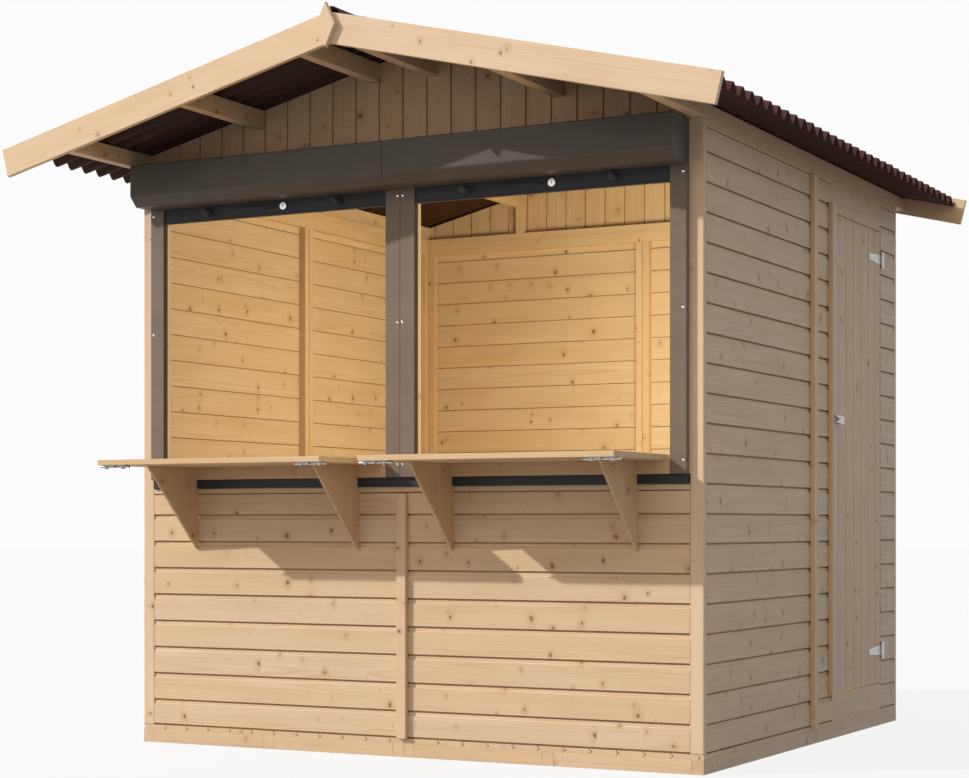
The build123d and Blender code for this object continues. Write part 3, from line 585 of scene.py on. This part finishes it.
def put(name, bm, material, replaced=(), body="shed", along=None, smooth=None, wood=True):
    """Turns a finished shape into a piece that rides on a body and stands for CAD nodes."""
    if wood:
        mark_grain(bm, name, along)
    mesh = bpy.data.meshes.new(name)
    bm.to_mesh(mesh)
    bm.free()
    mesh.materials.append(finish(material))
    if smooth:
        mesh.shade_smooth()
        mesh.set_sharp_from_angle(angle=math.radians(smooth))
    piece = placed(name, mesh)
    if smooth:
        # Keeps the flat faces beside a rounded edge flat.
        flatten = piece.modifiers.new("flat_faces", "WEIGHTED_NORMAL")
        flatten.keep_sharp = True
    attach(piece, body)
    if replaced:
        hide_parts(*replaced)


def ease(bm, edges, width, segments=2):
    """Rounds some edges."""
    bmesh.ops.bevel(
        bm, geom=list(edges), offset=width, offset_type="OFFSET", segments=segments,
        profile=0.5, affect="EDGES", clamp_overlap=True, material=-1)


def sharp_edges(bm, degrees=30):
    """Edges where two faces meet at a clear angle."""
    limit = math.radians(degrees)
    return [edge for edge in bm.edges if edge.is_manifold and edge.calc_face_angle() > limit]


def running(edges, axis):
    """The long edges that run along an axis."""
    return [edge for edge in edges if abs((edge.verts[0].co - edge.verts[1].co).dot(axis)) > 0.1]


def timber(bm, low, high, width, segments=2, along=None):
    """One rectangular timber between two corners, with all its edges eased or only its long ones."""
    matrix = Matrix.LocRotScale((low + high) / 2, None, high - low)
    made = bmesh.ops.create_cube(bm, size=1, matrix=matrix)
    edges = {edge for vert in made["verts"] for edge in vert.link_edges}
    ease(bm, running(edges, along) if along else edges, width, segments)


def timbers(*nodes, width=None, segments=2):
    """The rectangular timbers of some nodes, each with eased edges."""
    bm = bmesh.new()
    for node in nodes:
        for low, high in solids(node):
            timber(bm, low, high, width or settings("board").eased, segments)
    return bm


def dressed(*nodes, width=None, segments=2):
    """A copy of shaped CAD solids with their sharp edges eased."""
    bm = cad_copy(*nodes)
    ease(bm, sharp_edges(bm), width or settings("board").eased, segments)
    return bm


def join_into(bm, other):
    """Adds the shapes of another mesh."""
    mesh = bpy.data.meshes.new("spare")
    other.to_mesh(mesh)
    other.free()
    bm.from_mesh(mesh)
    bpy.data.meshes.remove(mesh)


def keep_between(bm, axis, start, end):
    """Cuts off what lies beyond two places on an axis, and closes the cuts."""
    for place, side in ((start, -1), (end, 1)):
        geometry = bm.verts[:] + bm.edges[:] + bm.faces[:]
        bmesh.ops.bisect_plane(
            bm, geom=geometry, plane_co=axis * place, plane_no=axis * side, clear_outer=True)
        bmesh.ops.holes_fill(bm, edges=[edge for edge in bm.edges if edge.is_boundary])


def drawn_out(bm, outline, matrix, length):
    """An outline in the matrix's X and Y, drawn out along its Z."""
    verts = [bm.verts.new(matrix @ Vector((*point, 0))) for point in outline]
    face = bm.faces.new(verts)
    made = bmesh.ops.extrude_face_region(bm, geom=[face])
    moved = [item for item in made["geom"] if isinstance(item, bmesh.types.BMVert)]
    bmesh.ops.translate(bm, verts=moved, vec=matrix.to_3x3() @ Vector((0, 0, length)))
    faces = {face for vert in verts + moved for face in vert.link_faces}
    bmesh.ops.recalc_face_normals(bm, faces=list(faces))
    return verts + moved


def arc(centre, radius, start, end, steps):
    """Points on an arc between two angles in degrees."""
    angles = [math.radians(start + (end - start) * step / steps) for step in range(steps + 1)]
    return [(centre[0] + radius * math.cos(angle), centre[1] + radius * math.sin(angle)) for angle in angles]


def facing(origin, outward, along):
    """A matrix whose X looks outward, whose Y is up and whose Z runs along the wall."""
    matrix = Matrix((outward, Z_AXIS, along)).transposed().to_4x4()
    matrix.translation = origin
    return matrix


def fixing_head(bm, matrix, segments, radius, top_radius, depth):
    """The low cone of a nail's or screw's head, on the matrix's plane. Gives its top face."""
    lift = Matrix.Translation((0, 0, depth / 2))
    made = bmesh.ops.create_cone(
        bm, cap_ends=True, segments=segments, radius1=radius, radius2=top_radius, depth=depth,
        matrix=matrix @ lift)
    faces = {face for vert in made["verts"] for face in vert.link_faces}
    return max(faces, key=lambda face: face.calc_center_median().dot(matrix.to_3x3() @ Z_AXIS))


# Boards


# A siding board's end, in metres: half the joint that shows inside, how deep its tongue lies, and its nose.
SLOT_HEIGHT = 0.0018
SLOT_DEPTH = 0.0046
TONGUE_DEPTH = 0.0086
NOSE = 0.0013


def lap_outline(low, high, coved, lowest):
    """A siding board seen from its end: out from the wall's face, and up."""
    board = settings("board")
    back = -board.thickness
    inner = back + SLOT_DEPTH
    outer = -TONGUE_DEPTH
    points = [(back, low + SLOT_HEIGHT), (inner, low + SLOT_HEIGHT), (inner, low)]
    if lowest:
        points += [(outer, low), (outer, low + board.shadow_gap)]
        low += board.shadow_gap
    points += arc((-NOSE, low + NOSE), NOSE, -90, 0, 3)
    if coved:
        foot = high - board.cove_height
        radius = board.cove_depth / 2
        points.append((0, foot))
        points += arc((radius - board.cove_depth, foot + radius), radius, 270, 180, 4)
    rebate = high - board.shadow_gap * (1.0 if coved else 0.7)
    points += [(-board.cove_depth if coved else 0, rebate), (outer, rebate), (outer, high)]
    points += [(inner, high), (inner, high - SLOT_HEIGHT), (back, high - SLOT_HEIGHT)]
    return points


def siding(bm, low, high, outward):
    """Rows of boards over one wall panel. The wood down in their grooves is marked for painted shade."""
    board = settings("board")
    groove = bm.verts.layers.float["groove"]
    flat = Vector([abs(part) for part in outward])
    along = Vector([abs(part) for part in Z_AXIS.cross(outward)])
    face = high if max(outward) > 0 else low
    behind = 0.0003  # A hair behind the wall's plane, so that the hinge knuckles turn free of the boards.
    origin = along * low.dot(along) + flat * face.dot(flat) - outward * behind
    matrix = facing(origin, outward, along)
    rows = math.ceil((high.z - FLOOR_TOP) / board.cover - 1e-3)
    slack = 0.0005
    for row in range(rows):
        bottom = max(low.z, FLOOR_TOP + row * board.cover)
        top = min(high.z, FLOOR_TOP + (row + 1) * board.cover)
        coved = low.z + board.cove_height < top < high.z - board.cove_height
        outline = lap_outline(bottom + 0.0002, top, coved, row == 0)
        for vert in drawn_out(bm, outline, matrix, (high - low).dot(along)):
            depth = (origin - vert.co).dot(outward)
            # Painted shade: vertices down in the rebate and the inner joint are marked, and the finish
            # darkens them.
            vert[groove] = float(TONGUE_DEPTH - slack < depth < board.thickness - SLOT_DEPTH + slack)


class KIOSK_OT_siding(bpy.types.Operator):
    """Board the four walls"""

    bl_idname = "kiosk.siding"
    bl_label = "Siding"

    def execute(self, context):
        beside_door = ("right_wall_front_panel", "right_wall_latch_panel", "right_wall_hinge_panel")
        for name, nodes, outward in (
            ("front_siding", ("front_lower_panels",), -Y_AXIS),
            ("left_siding", ("left_wall_panels",), -X_AXIS),
            ("rear_siding", ("rear_wall_panels",), Y_AXIS),
            ("right_siding", beside_door, X_AXIS),
        ):
            bm = bmesh.new()
            # A layer for the painted shade in the joints.
            bm.verts.layers.float.new("groove")
            for node in nodes:
                for low, high in solids(node):
                    siding(bm, low, high, outward)
            along = Y_AXIS if outward.x else X_AXIS
            put(name, bm, "wall_wood", nodes, along=along)
        doorway = ("right_wall_over_door", "right_wall_under_door")
        put("doorway_boards", timbers(*doorway), "wall_wood", doorway, along=Y_AXIS)
        return {"FINISHED"}


def paint_joint_shade(bm):
    """Marks a whole shape for painted shade, as wood that shows only down in joints."""
    groove = bm.verts.layers.float.new("groove")
    for vert in bm.verts:
        vert[groove] = 1.0


def sliced(node, places):
    """A CAD plate cut across X into upright boards with open joints, and the tongues behind those, marked
    for painted shade.
    """
    half = settings("board").gable_gap / 2
    low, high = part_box(node)
    bm = cad_copy(node)
    middle = (low + high) / 2
    # The tongues: the whole plate, a quarter as thick and a hair smaller, painted dark as the shade in the
    # joints.
    bmesh.ops.scale(bm, vec=(0.998, 0.25, 0.998), space=Matrix.Translation(-middle), verts=bm.verts)
    paint_joint_shade(bm)
    narrowest = 0.004
    places = [place for place in places if low.x + narrowest < place < high.x - narrowest]
    for start, end in zip([low.x - 1, *places], [*places, high.x + 1]):
        board = cad_copy(node)
        keep_between(board, X_AXIS, start + half, end - half)
        ease(board, sharp_edges(board), 0.0009, 1)
        join_into(bm, board)
    return bm


class KIOSK_OT_gables(bpy.types.Operator):
    """Board both gables upright"""

    bl_idname = "kiosk.gables"
    bl_label = "Gables"

    def execute(self, context):
        cover = settings("board").gable_cover
        joint = -0.0019  # The joint nearest the middle.
        count = math.ceil(HALF_WIDTH / cover)
        places = [joint + index * cover for index in range(-count, count + 1)]
        for node in ("front_gable", "rear_gable"):
            put(f"{node}_boards", sliced(node, places), "gable_wood", (node,), along=Z_AXIS)
        return {"FINISHED"}


def floorboard_outline(start, end):
    """A tongued board seen from its end: across the floor, and up."""
    low = FLOOR_LOW.z
    high = FLOOR_TOP
    middle = (low + high) / 2
    tongue = 0.0055
    root = 0.0030
    tip = 0.0018
    gap = 0.0010
    eased = 0.0009
    start += gap
    end -= gap
    return [
        (start + eased, low), (end - eased, low), (end, low + eased), (end, middle - root),
        (end + tongue, middle - tip), (end + tongue, middle + tip), (end, middle + root),
        (end, high - eased), (end - eased, high), (start + eased, high), (start, high - eased),
        (start, middle + root + gap), (start + tongue + gap, middle + tip + gap),
        (start + tongue + gap, middle - tip - gap), (start, middle - root - gap), (start, low + eased),
    ]


class KIOSK_OT_floor(bpy.types.Operator):
    """Lay the floorboards on their joists and end beams"""

    bl_idname = "kiosk.floor"
    bl_label = "Floor"

    def execute(self, context):
        cover = settings("board").floor_cover
        bm = bmesh.new()
        matrix = facing(Y_AXIS * FLOOR_LOW.y, X_AXIS, Y_AXIS)
        place = -HALF_WIDTH
        while place < HALF_WIDTH - 0.002:
            end = min(place + cover, HALF_WIDTH)
            outline = floorboard_outline(place, end)
            if end == HALF_WIDTH:
                # The last board has no tongue.
                outline = outline[:3] + outline[7:]
            drawn_out(bm, outline, matrix, FLOOR_HIGH.y - FLOOR_LOW.y)
            place = end
        put("floorboards", bm, "floor_wood", ("floor_boards",), along=Y_AXIS)
        for kind in ("joists", "beams"):
            nodes = (f"floor_{kind}_left", f"floor_{kind}_right")
            put(f"floor_{kind}", timbers(*nodes), "floor_wood", nodes)
        return {"FINISHED"}


# Framing


class KIOSK_OT_framing(bpy.types.Operator):
    """Put up posts, studs, rails, plates and cover strips"""

    bl_idname = "kiosk.framing"
    bl_label = "Framing"

    def execute(self, context):
        for name, nodes in {
            "studs": ("left_wall_studs", "right_wall_studs", "rear_wall_studs", "front_wall_studs"),
            "rails": ("wall_rails",),
            "top_plates": ("wall_plates",),
            "gable_posts": ("purlin_posts",),
        }.items():
            put(name, timbers(*nodes), "frame_wood", nodes)
        for name, nodes in {
            "rear_posts": ("rear_corner_posts",),
            "centre_post": ("front_centre_post",),
            "headers": ("front_headers",),
            "cap_board": ("front_cap_board",),
            "joint_strips": ("cover_strips",),
            "jamb_strip": ("door_jamb_strip",),
        }.items():
            put(name, timbers(*nodes, width=0.002, segments=3), "trim_wood", nodes, smooth=40)
        posts = ("front_left_post", "front_right_post")
        bm = dressed(*posts, width=settings("board").post_round, segments=4)
        put("corner_posts", bm, "trim_wood", posts, along=Z_AXIS, smooth=40)
        return {"FINISHED"}


# Roof


# A sheet starts half way up a wave, so its first crest is a quarter of a wave in.
CREST = 0.25


def slope_matrix(side):
    """X runs down one slope from the ridge, Y to the rear, Z away from the roof."""
    slope = settings("roof").slope
    low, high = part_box("right_roof_sheets")
    ridge = low.z + math.tan(slope) * high.x
    down = Vector((side * math.cos(slope), 0, -math.sin(slope)))
    out = Vector((side * math.sin(slope), 0, math.cos(slope)))
    matrix = Matrix((down, Y_AXIS, out)).transposed().to_4x4()
    matrix.translation = (0, 0, ridge)
    return matrix


def wave(place):
    """Height of the sheet's middle line, from -half to half its wave, at a place counted from a crest."""
    roof = settings("roof")
    quarter = roof.wave_pitch / 4
    corner = math.tan(roof.flank) * quarter
    radius = (corner - roof.wave_height / 2) / (1 / math.cos(roof.flank) - 1)
    turn = place / roof.wave_pitch % 1
    offset = abs((turn - 0.5) % 1 - 0.5) * roof.wave_pitch
    sign = 1
    if offset > quarter:
        offset = 2 * quarter - offset
        sign = -1
    if offset < radius * math.sin(roof.flank):
        return sign * (roof.wave_height / 2 - radius + math.sqrt(radius**2 - offset**2))
    return sign * (quarter - offset) * math.tan(roof.flank)


def waves_on_a_slope():
    """How many waves lie side by side from front to rear."""
    low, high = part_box("right_roof_sheets")
    return round((high.y - low.y) / settings("roof").wave_pitch)


def roof_sheet(side, first, last, lap):
    """One corrugated sheet from one wave to another. Its last wave lies over the next sheet's first."""
    roof = settings("roof")
    low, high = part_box("right_roof_sheets")
    start = low.y + first * roof.wave_pitch
    length = (last - first) * roof.wave_pitch
    matrix = slope_matrix(side)
    slope_length = high.x / math.cos(roof.slope)
    bm = bmesh.new()
    steps_a_wave = 12
    bmesh.ops.create_grid(bm, x_segments=4, y_segments=(last - first) * steps_a_wave, size=0.5)
    middle = (roof.wave_height + roof.thickness) / 2
    for vert in bm.verts:
        y = (vert.co.y + 0.5) * length
        x = (vert.co.x + 0.5) * slope_length
        # The lap: its last two waves rise over the next sheet. Both ends of a slope are cut plumb.
        rise = lap * max(0.0, (y - length) / (2 * roof.wave_pitch) + 1)
        height = middle + wave(start + y - low.y - CREST * roof.wave_pitch) + rise
        x += height * -math.tan(roof.slope)
        x = max(x, roof.thickness)
        vert.co = matrix @ Vector((x, start + y, height))
    bmesh.ops.recalc_face_normals(bm, faces=bm.faces)
    if sum(face.normal.z for face in bm.faces) < 0:
        bmesh.ops.reverse_faces(bm, faces=bm.faces)
    for vert in bm.verts:
        vert.co += vert.normal * roof.thickness / 2
    bmesh.ops.solidify(bm, geom=bm.faces[:], thickness=roof.thickness)
    return bm


def cap_nail(bm, matrix):
    """A roofing nail with a moulded cap."""
    top = fixing_head(bm, matrix, 10, 0.0125, 0.0085, 0.006)
    bmesh.ops.inset_region(bm, faces=[top], thickness=0.0035, depth=0.0015)


class KIOSK_OT_roof(bpy.types.Operator):
    """Lay the corrugated sheets and nail them"""

    bl_idname = "kiosk.roof"
    bl_label = "Roof sheets"

    def execute(self, context):
        roof = settings("roof")
        waves = waves_on_a_slope()
        for name, side in (("left", -1), ("right", 1)):
            bm = bmesh.new()
            edges = [round(waves * index / roof.sheets) for index in range(roof.sheets + 1)]
            for index, (first, last) in enumerate(zip(edges, edges[1:])):
                laps = index < roof.sheets - 1
                join_into(bm, roof_sheet(side, first, last + laps, roof.thickness if laps else 0.0))
            node = f"{name}_roof_sheets"
            bm.normal_update()
            # Marks the downward faces, which the finish colours as bare bitumen darkened as painted shade.
            under = bm.verts.layers.float.new("under")
            for vert in bm.verts:
                vert[under] = float(vert.normal.z < 0)
            put(f"{name}_sheets", bm, "bitumen_sheet", (node,), smooth=50, wood=False)
        self.nails(waves)
        return {"FINISHED"}

    def nails(self, waves):
        """A nail through every second crest into each purlin."""
        roof = settings("roof")
        bm = bmesh.new()
        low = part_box("right_roof_sheets")[0]
        crest = roof.wave_height + roof.thickness
        purlins = solids("right_purlins")
        for side in SIDES:
            matrix = slope_matrix(side)
            for purlin_low, purlin_high in purlins:
                down = (purlin_low.x + purlin_high.x) / 2 / math.cos(roof.slope)
                lift = 2 * roof.thickness if purlin_low.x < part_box("ridge_cap")[1].x else 0.0
                for index in range(1, waves, 2):
                    y = low.y + (index + CREST) * roof.wave_pitch
                    cap_nail(bm, matrix @ Matrix.Translation((down, y, crest + lift)))
        put("roof_nails", bm, "bitumen_sheet", smooth=50, wood=False)


class KIOSK_OT_ridge(bpy.types.Operator):
    """Fold the ridge cap over both slopes"""

    bl_idname = "kiosk.ridge"
    bl_label = "Ridge cap"

    def execute(self, context):
        low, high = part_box("ridge_cap")
        lap = 0.06
        third = (high.y - low.y) / 3
        bm = bmesh.new()
        for index in range(3):
            # The middle length lies over the other two.
            middle = index == 1
            start = low.y + index * third - lap * middle
            length = cad_copy("ridge_cap")
            keep_between(length, Y_AXIS, start, start + third + 2 * lap * middle)
            lift = settings("roof").thickness * (1.6 if middle else 0.6)
            bmesh.ops.translate(length, verts=length.verts, vec=(0, 0, lift))
            join_into(bm, length)
        put("ridge_roll", bm, "bitumen_sheet", ("ridge_cap",), smooth=40, wood=False)
        return {"FINISHED"}


class KIOSK_OT_verges(bpy.types.Operator):
    """Fix the purlins, bargeboards and ridge plates"""

    bl_idname = "kiosk.verges"
    bl_label = "Purlins and bargeboards"

    def execute(self, context):
        nodes = ("left_purlins", "right_purlins")
        put("purlins", dressed(*nodes, width=0.0026), "frame_wood", nodes, along=Y_AXIS)
        slope = settings("roof").slope
        for end in ("front", "rear"):
            node = f"{end}_bargeboards"
            whole = dressed(node, width=0.002, segments=3)
            for hand, side in (("left", -1), ("right", 1)):
                bm = whole.copy()
                away = [vert for vert in bm.verts if vert.co.x * side < 0]
                bmesh.ops.delete(bm, geom=away, context="VERTS")
                down = Vector((side * math.cos(slope), 0, -math.sin(slope)))
                name = f"{end}_{hand}_bargeboard"
                put(name, bm, "trim_wood", (node,), along=down, smooth=40)
            whole.free()
        bm = dressed("ridge_plates", width=0.002, segments=3)
        put("ridge_diamonds", bm, "trim_wood", ("ridge_plates",), along=Z_AXIS, smooth=40)
        return {"FINISHED"}


# Metalwork


def screw(bm, place, outward, radius=None):
    """A domed screw head with a recess."""
    radius = radius or settings("metal").screw
    matrix = Matrix.Translation(place) @ outward.to_track_quat("Z", "Y").to_matrix().to_4x4()
    top = fixing_head(bm, matrix, 12, radius, radius * 0.62, radius * 0.5)
    bmesh.ops.inset_region(bm, faces=[top], thickness=radius * 0.22, depth=radius * 0.06)
    bmesh.ops.inset_region(bm, faces=[top], thickness=radius * 0.12, depth=-radius * 0.22)


def fitting(name, bm, material, replaced=(), body="shed"):
    """Puts a piece of metal or rubber in place."""
    put(name, bm, material, replaced, body, smooth=35, wood=False)


class KIOSK_OT_shutters(bpy.types.Operator):
    """Fit the shutter boxes, guides, sill, end slats, stops and locks"""

    bl_idname = "kiosk.shutters"
    bl_label = "Shutters"

    def execute(self, context):
        bm = cad_copy("shutter_boxes")
        ease(bm, running(sharp_edges(bm), X_AXIS), settings("metal").fold, 4)
        ease(bm, sharp_edges(bm, 40), 0.0008, 1)
        # The boxes take the coat darkened as painted shade; the guides take it lightened and warmed as
        # painted sunlight.
        fitting("shutter_cases", bm, "dark_coat", ("shutter_boxes",))
        for name, node, material, slot, width, segments in (
            ("guide_rails", "shutter_guides", "guide_coat", "dark_metal", 0.0014, 2),
            ("sill_profile", "front_sill", "slat_coat", "dark_metal", 0.002, 2),
            ("end_slats", "shutter_end_slats", "slat_coat", "dark_metal", 0.0012, 2),
            ("rubber_stops", "shutter_stops", "black_rubber", "black_rubber", 0.002, 3),
            ("slat_locks", "shutter_locks", "bright_plate", "bright_steel", 0.0012, 3),
        ):
            fitting(name, dressed(node, width=width, segments=segments), material, (node,))
        self.seals()
        self.keyholes()
        self.screws()
        return {"FINISHED"}

    def seals(self):
        """Black brush seals over the slots in which the shutters run."""
        proud = 0.0014
        bm = bmesh.new()
        for low, high in solids("shutter_guides"):
            # The outer rails' slots face the middle, and the inner rails' slots face away from it.
            middle = (low.x + high.x) / 2
            outer = abs(middle) > 0.5
            side = math.copysign(1, middle) * (-1 if outer else 1)
            edge = high.x if side > 0 else low.x
            near = Vector((min(edge, edge + side * proud), low.y + 0.0025, low.z))
            far = Vector((max(edge, edge + side * proud), high.y - 0.0005, high.z))
            timber(bm, near, far, 0.0004, 1)
        put("guide_seals", bm, "black_rubber", wood=False)

    def keyholes(self):
        """Painted shade for each lock's keyhole: a thin black plate on the lock's face."""
        half = Vector((0.0011, 0, 0.0045))
        bm = bmesh.new()
        for low, high in solids("shutter_locks"):
            face = (low + high) / 2
            face.y = low.y
            timber(bm, face - half - Y_AXIS * 0.0004, face + half + Y_AXIS * 0.0010, 0.0003, 1)
        put("keyholes", bm, "black_rubber", wood=False)

    def screws(self):
        """Three screws down each guide rail."""
        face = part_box("shutter_guides")[0].y
        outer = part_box("shutter_guides")[1].x - 0.011
        inner = 0.0095
        bm = bmesh.new()
        for side in SIDES:
            for level in (0.938, 1.392, 1.797):
                for place in (outer, inner):
                    screw(bm, Vector((side * place, face, level)), -Y_AXIS)
        fitting("guide_screws", bm, "bright_plate")


class KIOSK_OT_counters(bpy.types.Operator):
    """Hang the counters on their battens and brackets"""

    bl_idname = "kiosk.counters"
    bl_label = "Counters"

    def execute(self, context):
        bm = bmesh.new()
        boards = 5
        for low, high in solids("counters"):
            step = (high.y - low.y) / boards
            for index in range(boards):
                start = Vector((low.x, low.y + step * index, low.z))
                end = Vector((high.x, low.y + step * (index + 1), high.z))
                timber(bm, start, end, 0.0008)
        put("counter_boards", bm, "counter_wood", ("counters",), along=X_AXIS)
        put("battens", timbers("counter_battens"), "counter_wood", ("counter_battens",))
        bm = dressed("counter_brackets", width=0.0015)
        put("brackets", bm, "counter_wood", ("counter_brackets",), along=Z_AXIS)
        bm = dressed("counter_bolts", width=0.0006)
        fitting("slide_bolts", bm, "zinc_plate", ("counter_bolts",))
        return {"FINISHED"}


class KIOSK_OT_door(bpy.types.Operator):
    """Hang the boarded door with its hinges, hasp and staple"""

    bl_idname = "kiosk.door"
    bl_label = "Door"

    def execute(self, context):
        self.leaf()
        for name, node, width, body in (
            ("hinge_straps", "door_hinge_straps", 0.0006, "door"),
            ("hinge_frames", "door_hinge_pins", 0.0006, "shed"),
            ("hasp_strap", "hasp", 0.0006, "door"),
            ("staple", "hasp_staple", 0.0004, "shed"),
        ):
            fitting(name, dressed(node, width=width), "zinc_plate", (node,), body)
        self.fixings()
        return {"FINISHED"}

    def leaf(self):
        """Upright boards with open joints, the tongues behind those painted dark as the shade in the joints,
        and three ledges on the back.
        """
        board = settings("board")
        low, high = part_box("door_leaf")
        back = high.x - board.thickness
        joints = int((high.y - low.y) // board.door_cover)
        first = (low.y + high.y - (joints - 1) * board.door_cover) / 2
        places = [low.y, *(first + index * board.door_cover for index in range(joints)), high.y]
        bm = bmesh.new()
        inside = Vector((0.006, 0.002, 0.002))
        # The backing plate behind the open joints, wholly marked for painted shade.
        timber(bm, Vector((back, low.y, low.z)) + inside, high - inside, 0.0004, 1)
        paint_joint_shade(bm)
        half_gap = 0.0011
        for start, end in zip(places, places[1:]):
            near = Vector((back, start + half_gap, low.z))
            timber(bm, near, Vector((high.x, end - half_gap, high.z)), 0.0036, 1, Z_AXIS)
        put("door_boards", bm, "wall_wood", ("door_leaf",), "door", along=Z_AXIS)
        bm = bmesh.new()
        inset = 0.040
        height = 0.090
        top = high.z - inset - height
        bottom = low.z + inset
        for level in (bottom, (bottom + top) / 2, top):
            start = Vector((low.x, low.y + inset, level))
            timber(bm, start, Vector((back, high.y - inset, level + height)), 0.003)
        put("door_ledges", bm, "frame_wood", (), "door", along=Y_AXIS)

    def fixings(self):
        """Screws through the hinge plates and the hasp."""
        plate = 0.0025
        moving = bmesh.new()
        for low, high in solids("door_hinge_straps"):
            middle = (low.z + high.z) / 2
            for step in (0.014, 0.060, 0.106):
                screw(moving, Vector((low.x + plate, low.y + step, middle)), X_AXIS, 0.0038)
        low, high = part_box("hasp")
        for step in (0.012, 0.034):
            screw(moving, Vector((low.x + plate, high.y - step, (low.z + high.z) / 2)), X_AXIS, 0.0034)
        fitting("leaf_screws", moving, "zinc_plate", (), "door")
        fixed = bmesh.new()
        for low, high in solids("door_hinge_pins"):
            middle = (low.z + high.z) / 2
            for step, rise in ((0.009, 0.020), (0.022, 0.0), (0.009, -0.020)):
                screw(fixed, Vector((low.x + plate, high.y - step, middle + rise)), X_AXIS, 0.0034)
        fitting("hinge_screws", fixed, "zinc_plate")


# Studio


SUN_TRAVEL = Vector((1.259, 1.0, -0.951))
INSIDE_LAMP = Vector((0.48, 0.10, 1.35))
CAMERA_PLACE = Vector((3.3165, -6.5162, 0.7421))
CAMERA_LOOK = Vector((-0.46867, 0.88338, 0.0))


def aimed(direction):
    """How a lamp or a camera is turned to look in a direction."""
    return direction.to_track_quat("-Z", "Y").to_euler()


class KIOSK_OT_studio(bpy.types.Operator):
    """Set up the floor, the light and the camera"""

    bl_idname = "kiosk.studio"
    bl_label = "Studio"

    def execute(self, context):
        self.floor()
        self.lamps()
        self.sky(context.scene)
        self.camera(context.scene)
        context.scene.view_settings.view_transform = "Standard"
        return {"FINISHED"}

    def floor(self):
        """A wide disc that shows pale and keeps the shadow."""
        bm = bmesh.new()
        bmesh.ops.create_circle(bm, cap_ends=True, segments=96, radius=60.0)
        mesh = bpy.data.meshes.new("studio_floor")
        bm.to_mesh(mesh)
        bm.free()
        f = Finish("studio_floor")
        f.surface(Base_Color=opaque(settings("studio").floor), Roughness=0.9, Specular_IOR_Level=0.1)
        glow = f.node("ShaderNodeEmission", {}, {"Color": WHITE, "Strength": 1.22})
        base = Wire(f, f.shader.outputs[0])
        mixed = f.node("ShaderNodeMixShader", {}, {0: f.background_seen() * 0.70, 1: base, 2: glow})
        f.join(mixed, f.nodes["Material Output"].inputs["Surface"])
        mesh.materials.append(f.material)
        placed("studio_floor", mesh)

    def lamps(self):
        """The key light, and a soft lamp under the roof."""
        studio = settings("studio")
        sun = bpy.data.lights.new("key_light", "SUN")
        sun.energy = studio.sun
        sun.angle = studio.sun_angle
        sun.color = studio.sun_colour
        lamp = placed("key_light", sun)
        lamp.rotation_euler = aimed(SUN_TRAVEL)
        lamp.location = -SUN_TRAVEL * 4
        bulb = bpy.data.lights.new("inside_light", "POINT")
        bulb.energy = studio.inside
        bulb.color = studio.inside_colour
        bulb.shadow_soft_size = 0.3
        lamp = placed("inside_light", bulb)
        lamp.location = INSIDE_LAMP
        lamp.visible_camera = False
        lamp.visible_glossy = False

    def sky(self, scene):
        """Soft light, warm from the front left and cool from the rear right, on a plain background."""
        studio = settings("studio")
        scene.world = bpy.data.worlds.new("studio_sky")
        sky = Shading(scene.world)
        direction = sky.node("ShaderNodeTexCoord", {}, {}, "Generated")
        right = sky.node("ShaderNodeSeparateXYZ", {}, {0: direction}, "X")
        away = right * 0.7 + sky.other(right, "Y") * 0.7
        colour = sky.blend(sky.ramp(away, -0.8, 0.8), opaque(studio.sky_warm), opaque(studio.sky_cool))
        light = sky.node("ShaderNodeBackground", {}, {"Color": colour, "Strength": studio.sky})
        plain = sky.node("ShaderNodeBackground", {}, {"Color": WHITE, "Strength": 0.97})
        mixed = sky.node("ShaderNodeMixShader", {}, {0: sky.background_seen(), 1: light, 2: plain})
        sky.join(mixed, sky.nodes["World Output"].inputs["Surface"])

    def camera(self, scene):
        """The photograph's view: level, with the lens raised."""
        studio = settings("studio")
        data = bpy.data.cameras.new("view_camera")
        data.lens = studio.lens
        data.shift_y = studio.rise
        camera = placed("view_camera", data)
        camera.location = CAMERA_PLACE
        camera.rotation_euler = aimed(CAMERA_LOOK)
        scene.camera = camera


OPERATORS = (
    KIOSK_OT_siding,
    KIOSK_OT_gables,
    KIOSK_OT_floor,
    KIOSK_OT_framing,
    KIOSK_OT_roof,
    KIOSK_OT_ridge,
    KIOSK_OT_verges,
    KIOSK_OT_shutters,
    KIOSK_OT_counters,
    KIOSK_OT_door,
    KIOSK_OT_studio,
)
GROUPS = {
    "kiosk_board": BoardSettings,
    "kiosk_roof": RoofSettings,
    "kiosk_metal": MetalSettings,
    "kiosk_studio": StudioSettings,
}


class KIOSK_PT_panel(bpy.types.Panel):
    """Lists the kiosk's pieces"""

    bl_idname = "KIOSK_PT_panel"
    bl_label = "Kiosk"
    bl_space_type = "VIEW_3D"
    bl_region_type = "UI"
    bl_category = "Kiosk"

    def draw(self, context):
        for operator in OPERATORS:
            self.layout.operator(operator.bl_idname)


def register():
    for group in GROUPS.values():
        bpy.utils.register_class(group)
    for name, group in GROUPS.items():
        setattr(bpy.types.Scene, name, PointerProperty(type=group))
    for operator in OPERATORS:
        bpy.utils.register_class(operator)
    bpy.utils.register_class(KIOSK_PT_panel)


def unregister():
    bpy.utils.unregister_class(KIOSK_PT_panel)
    for operator in reversed(OPERATORS):
        bpy.utils.unregister_class(operator)
    for name, group in GROUPS.items():
        delattr(bpy.types.Scene, name)
        bpy.utils.unregister_class(group)


def main():
    register()
    for operator in OPERATORS:
        piece = operator.bl_idname.split(".")[1]
        getattr(bpy.ops.kiosk, piece)()


if __name__ == "__main__":
    main()
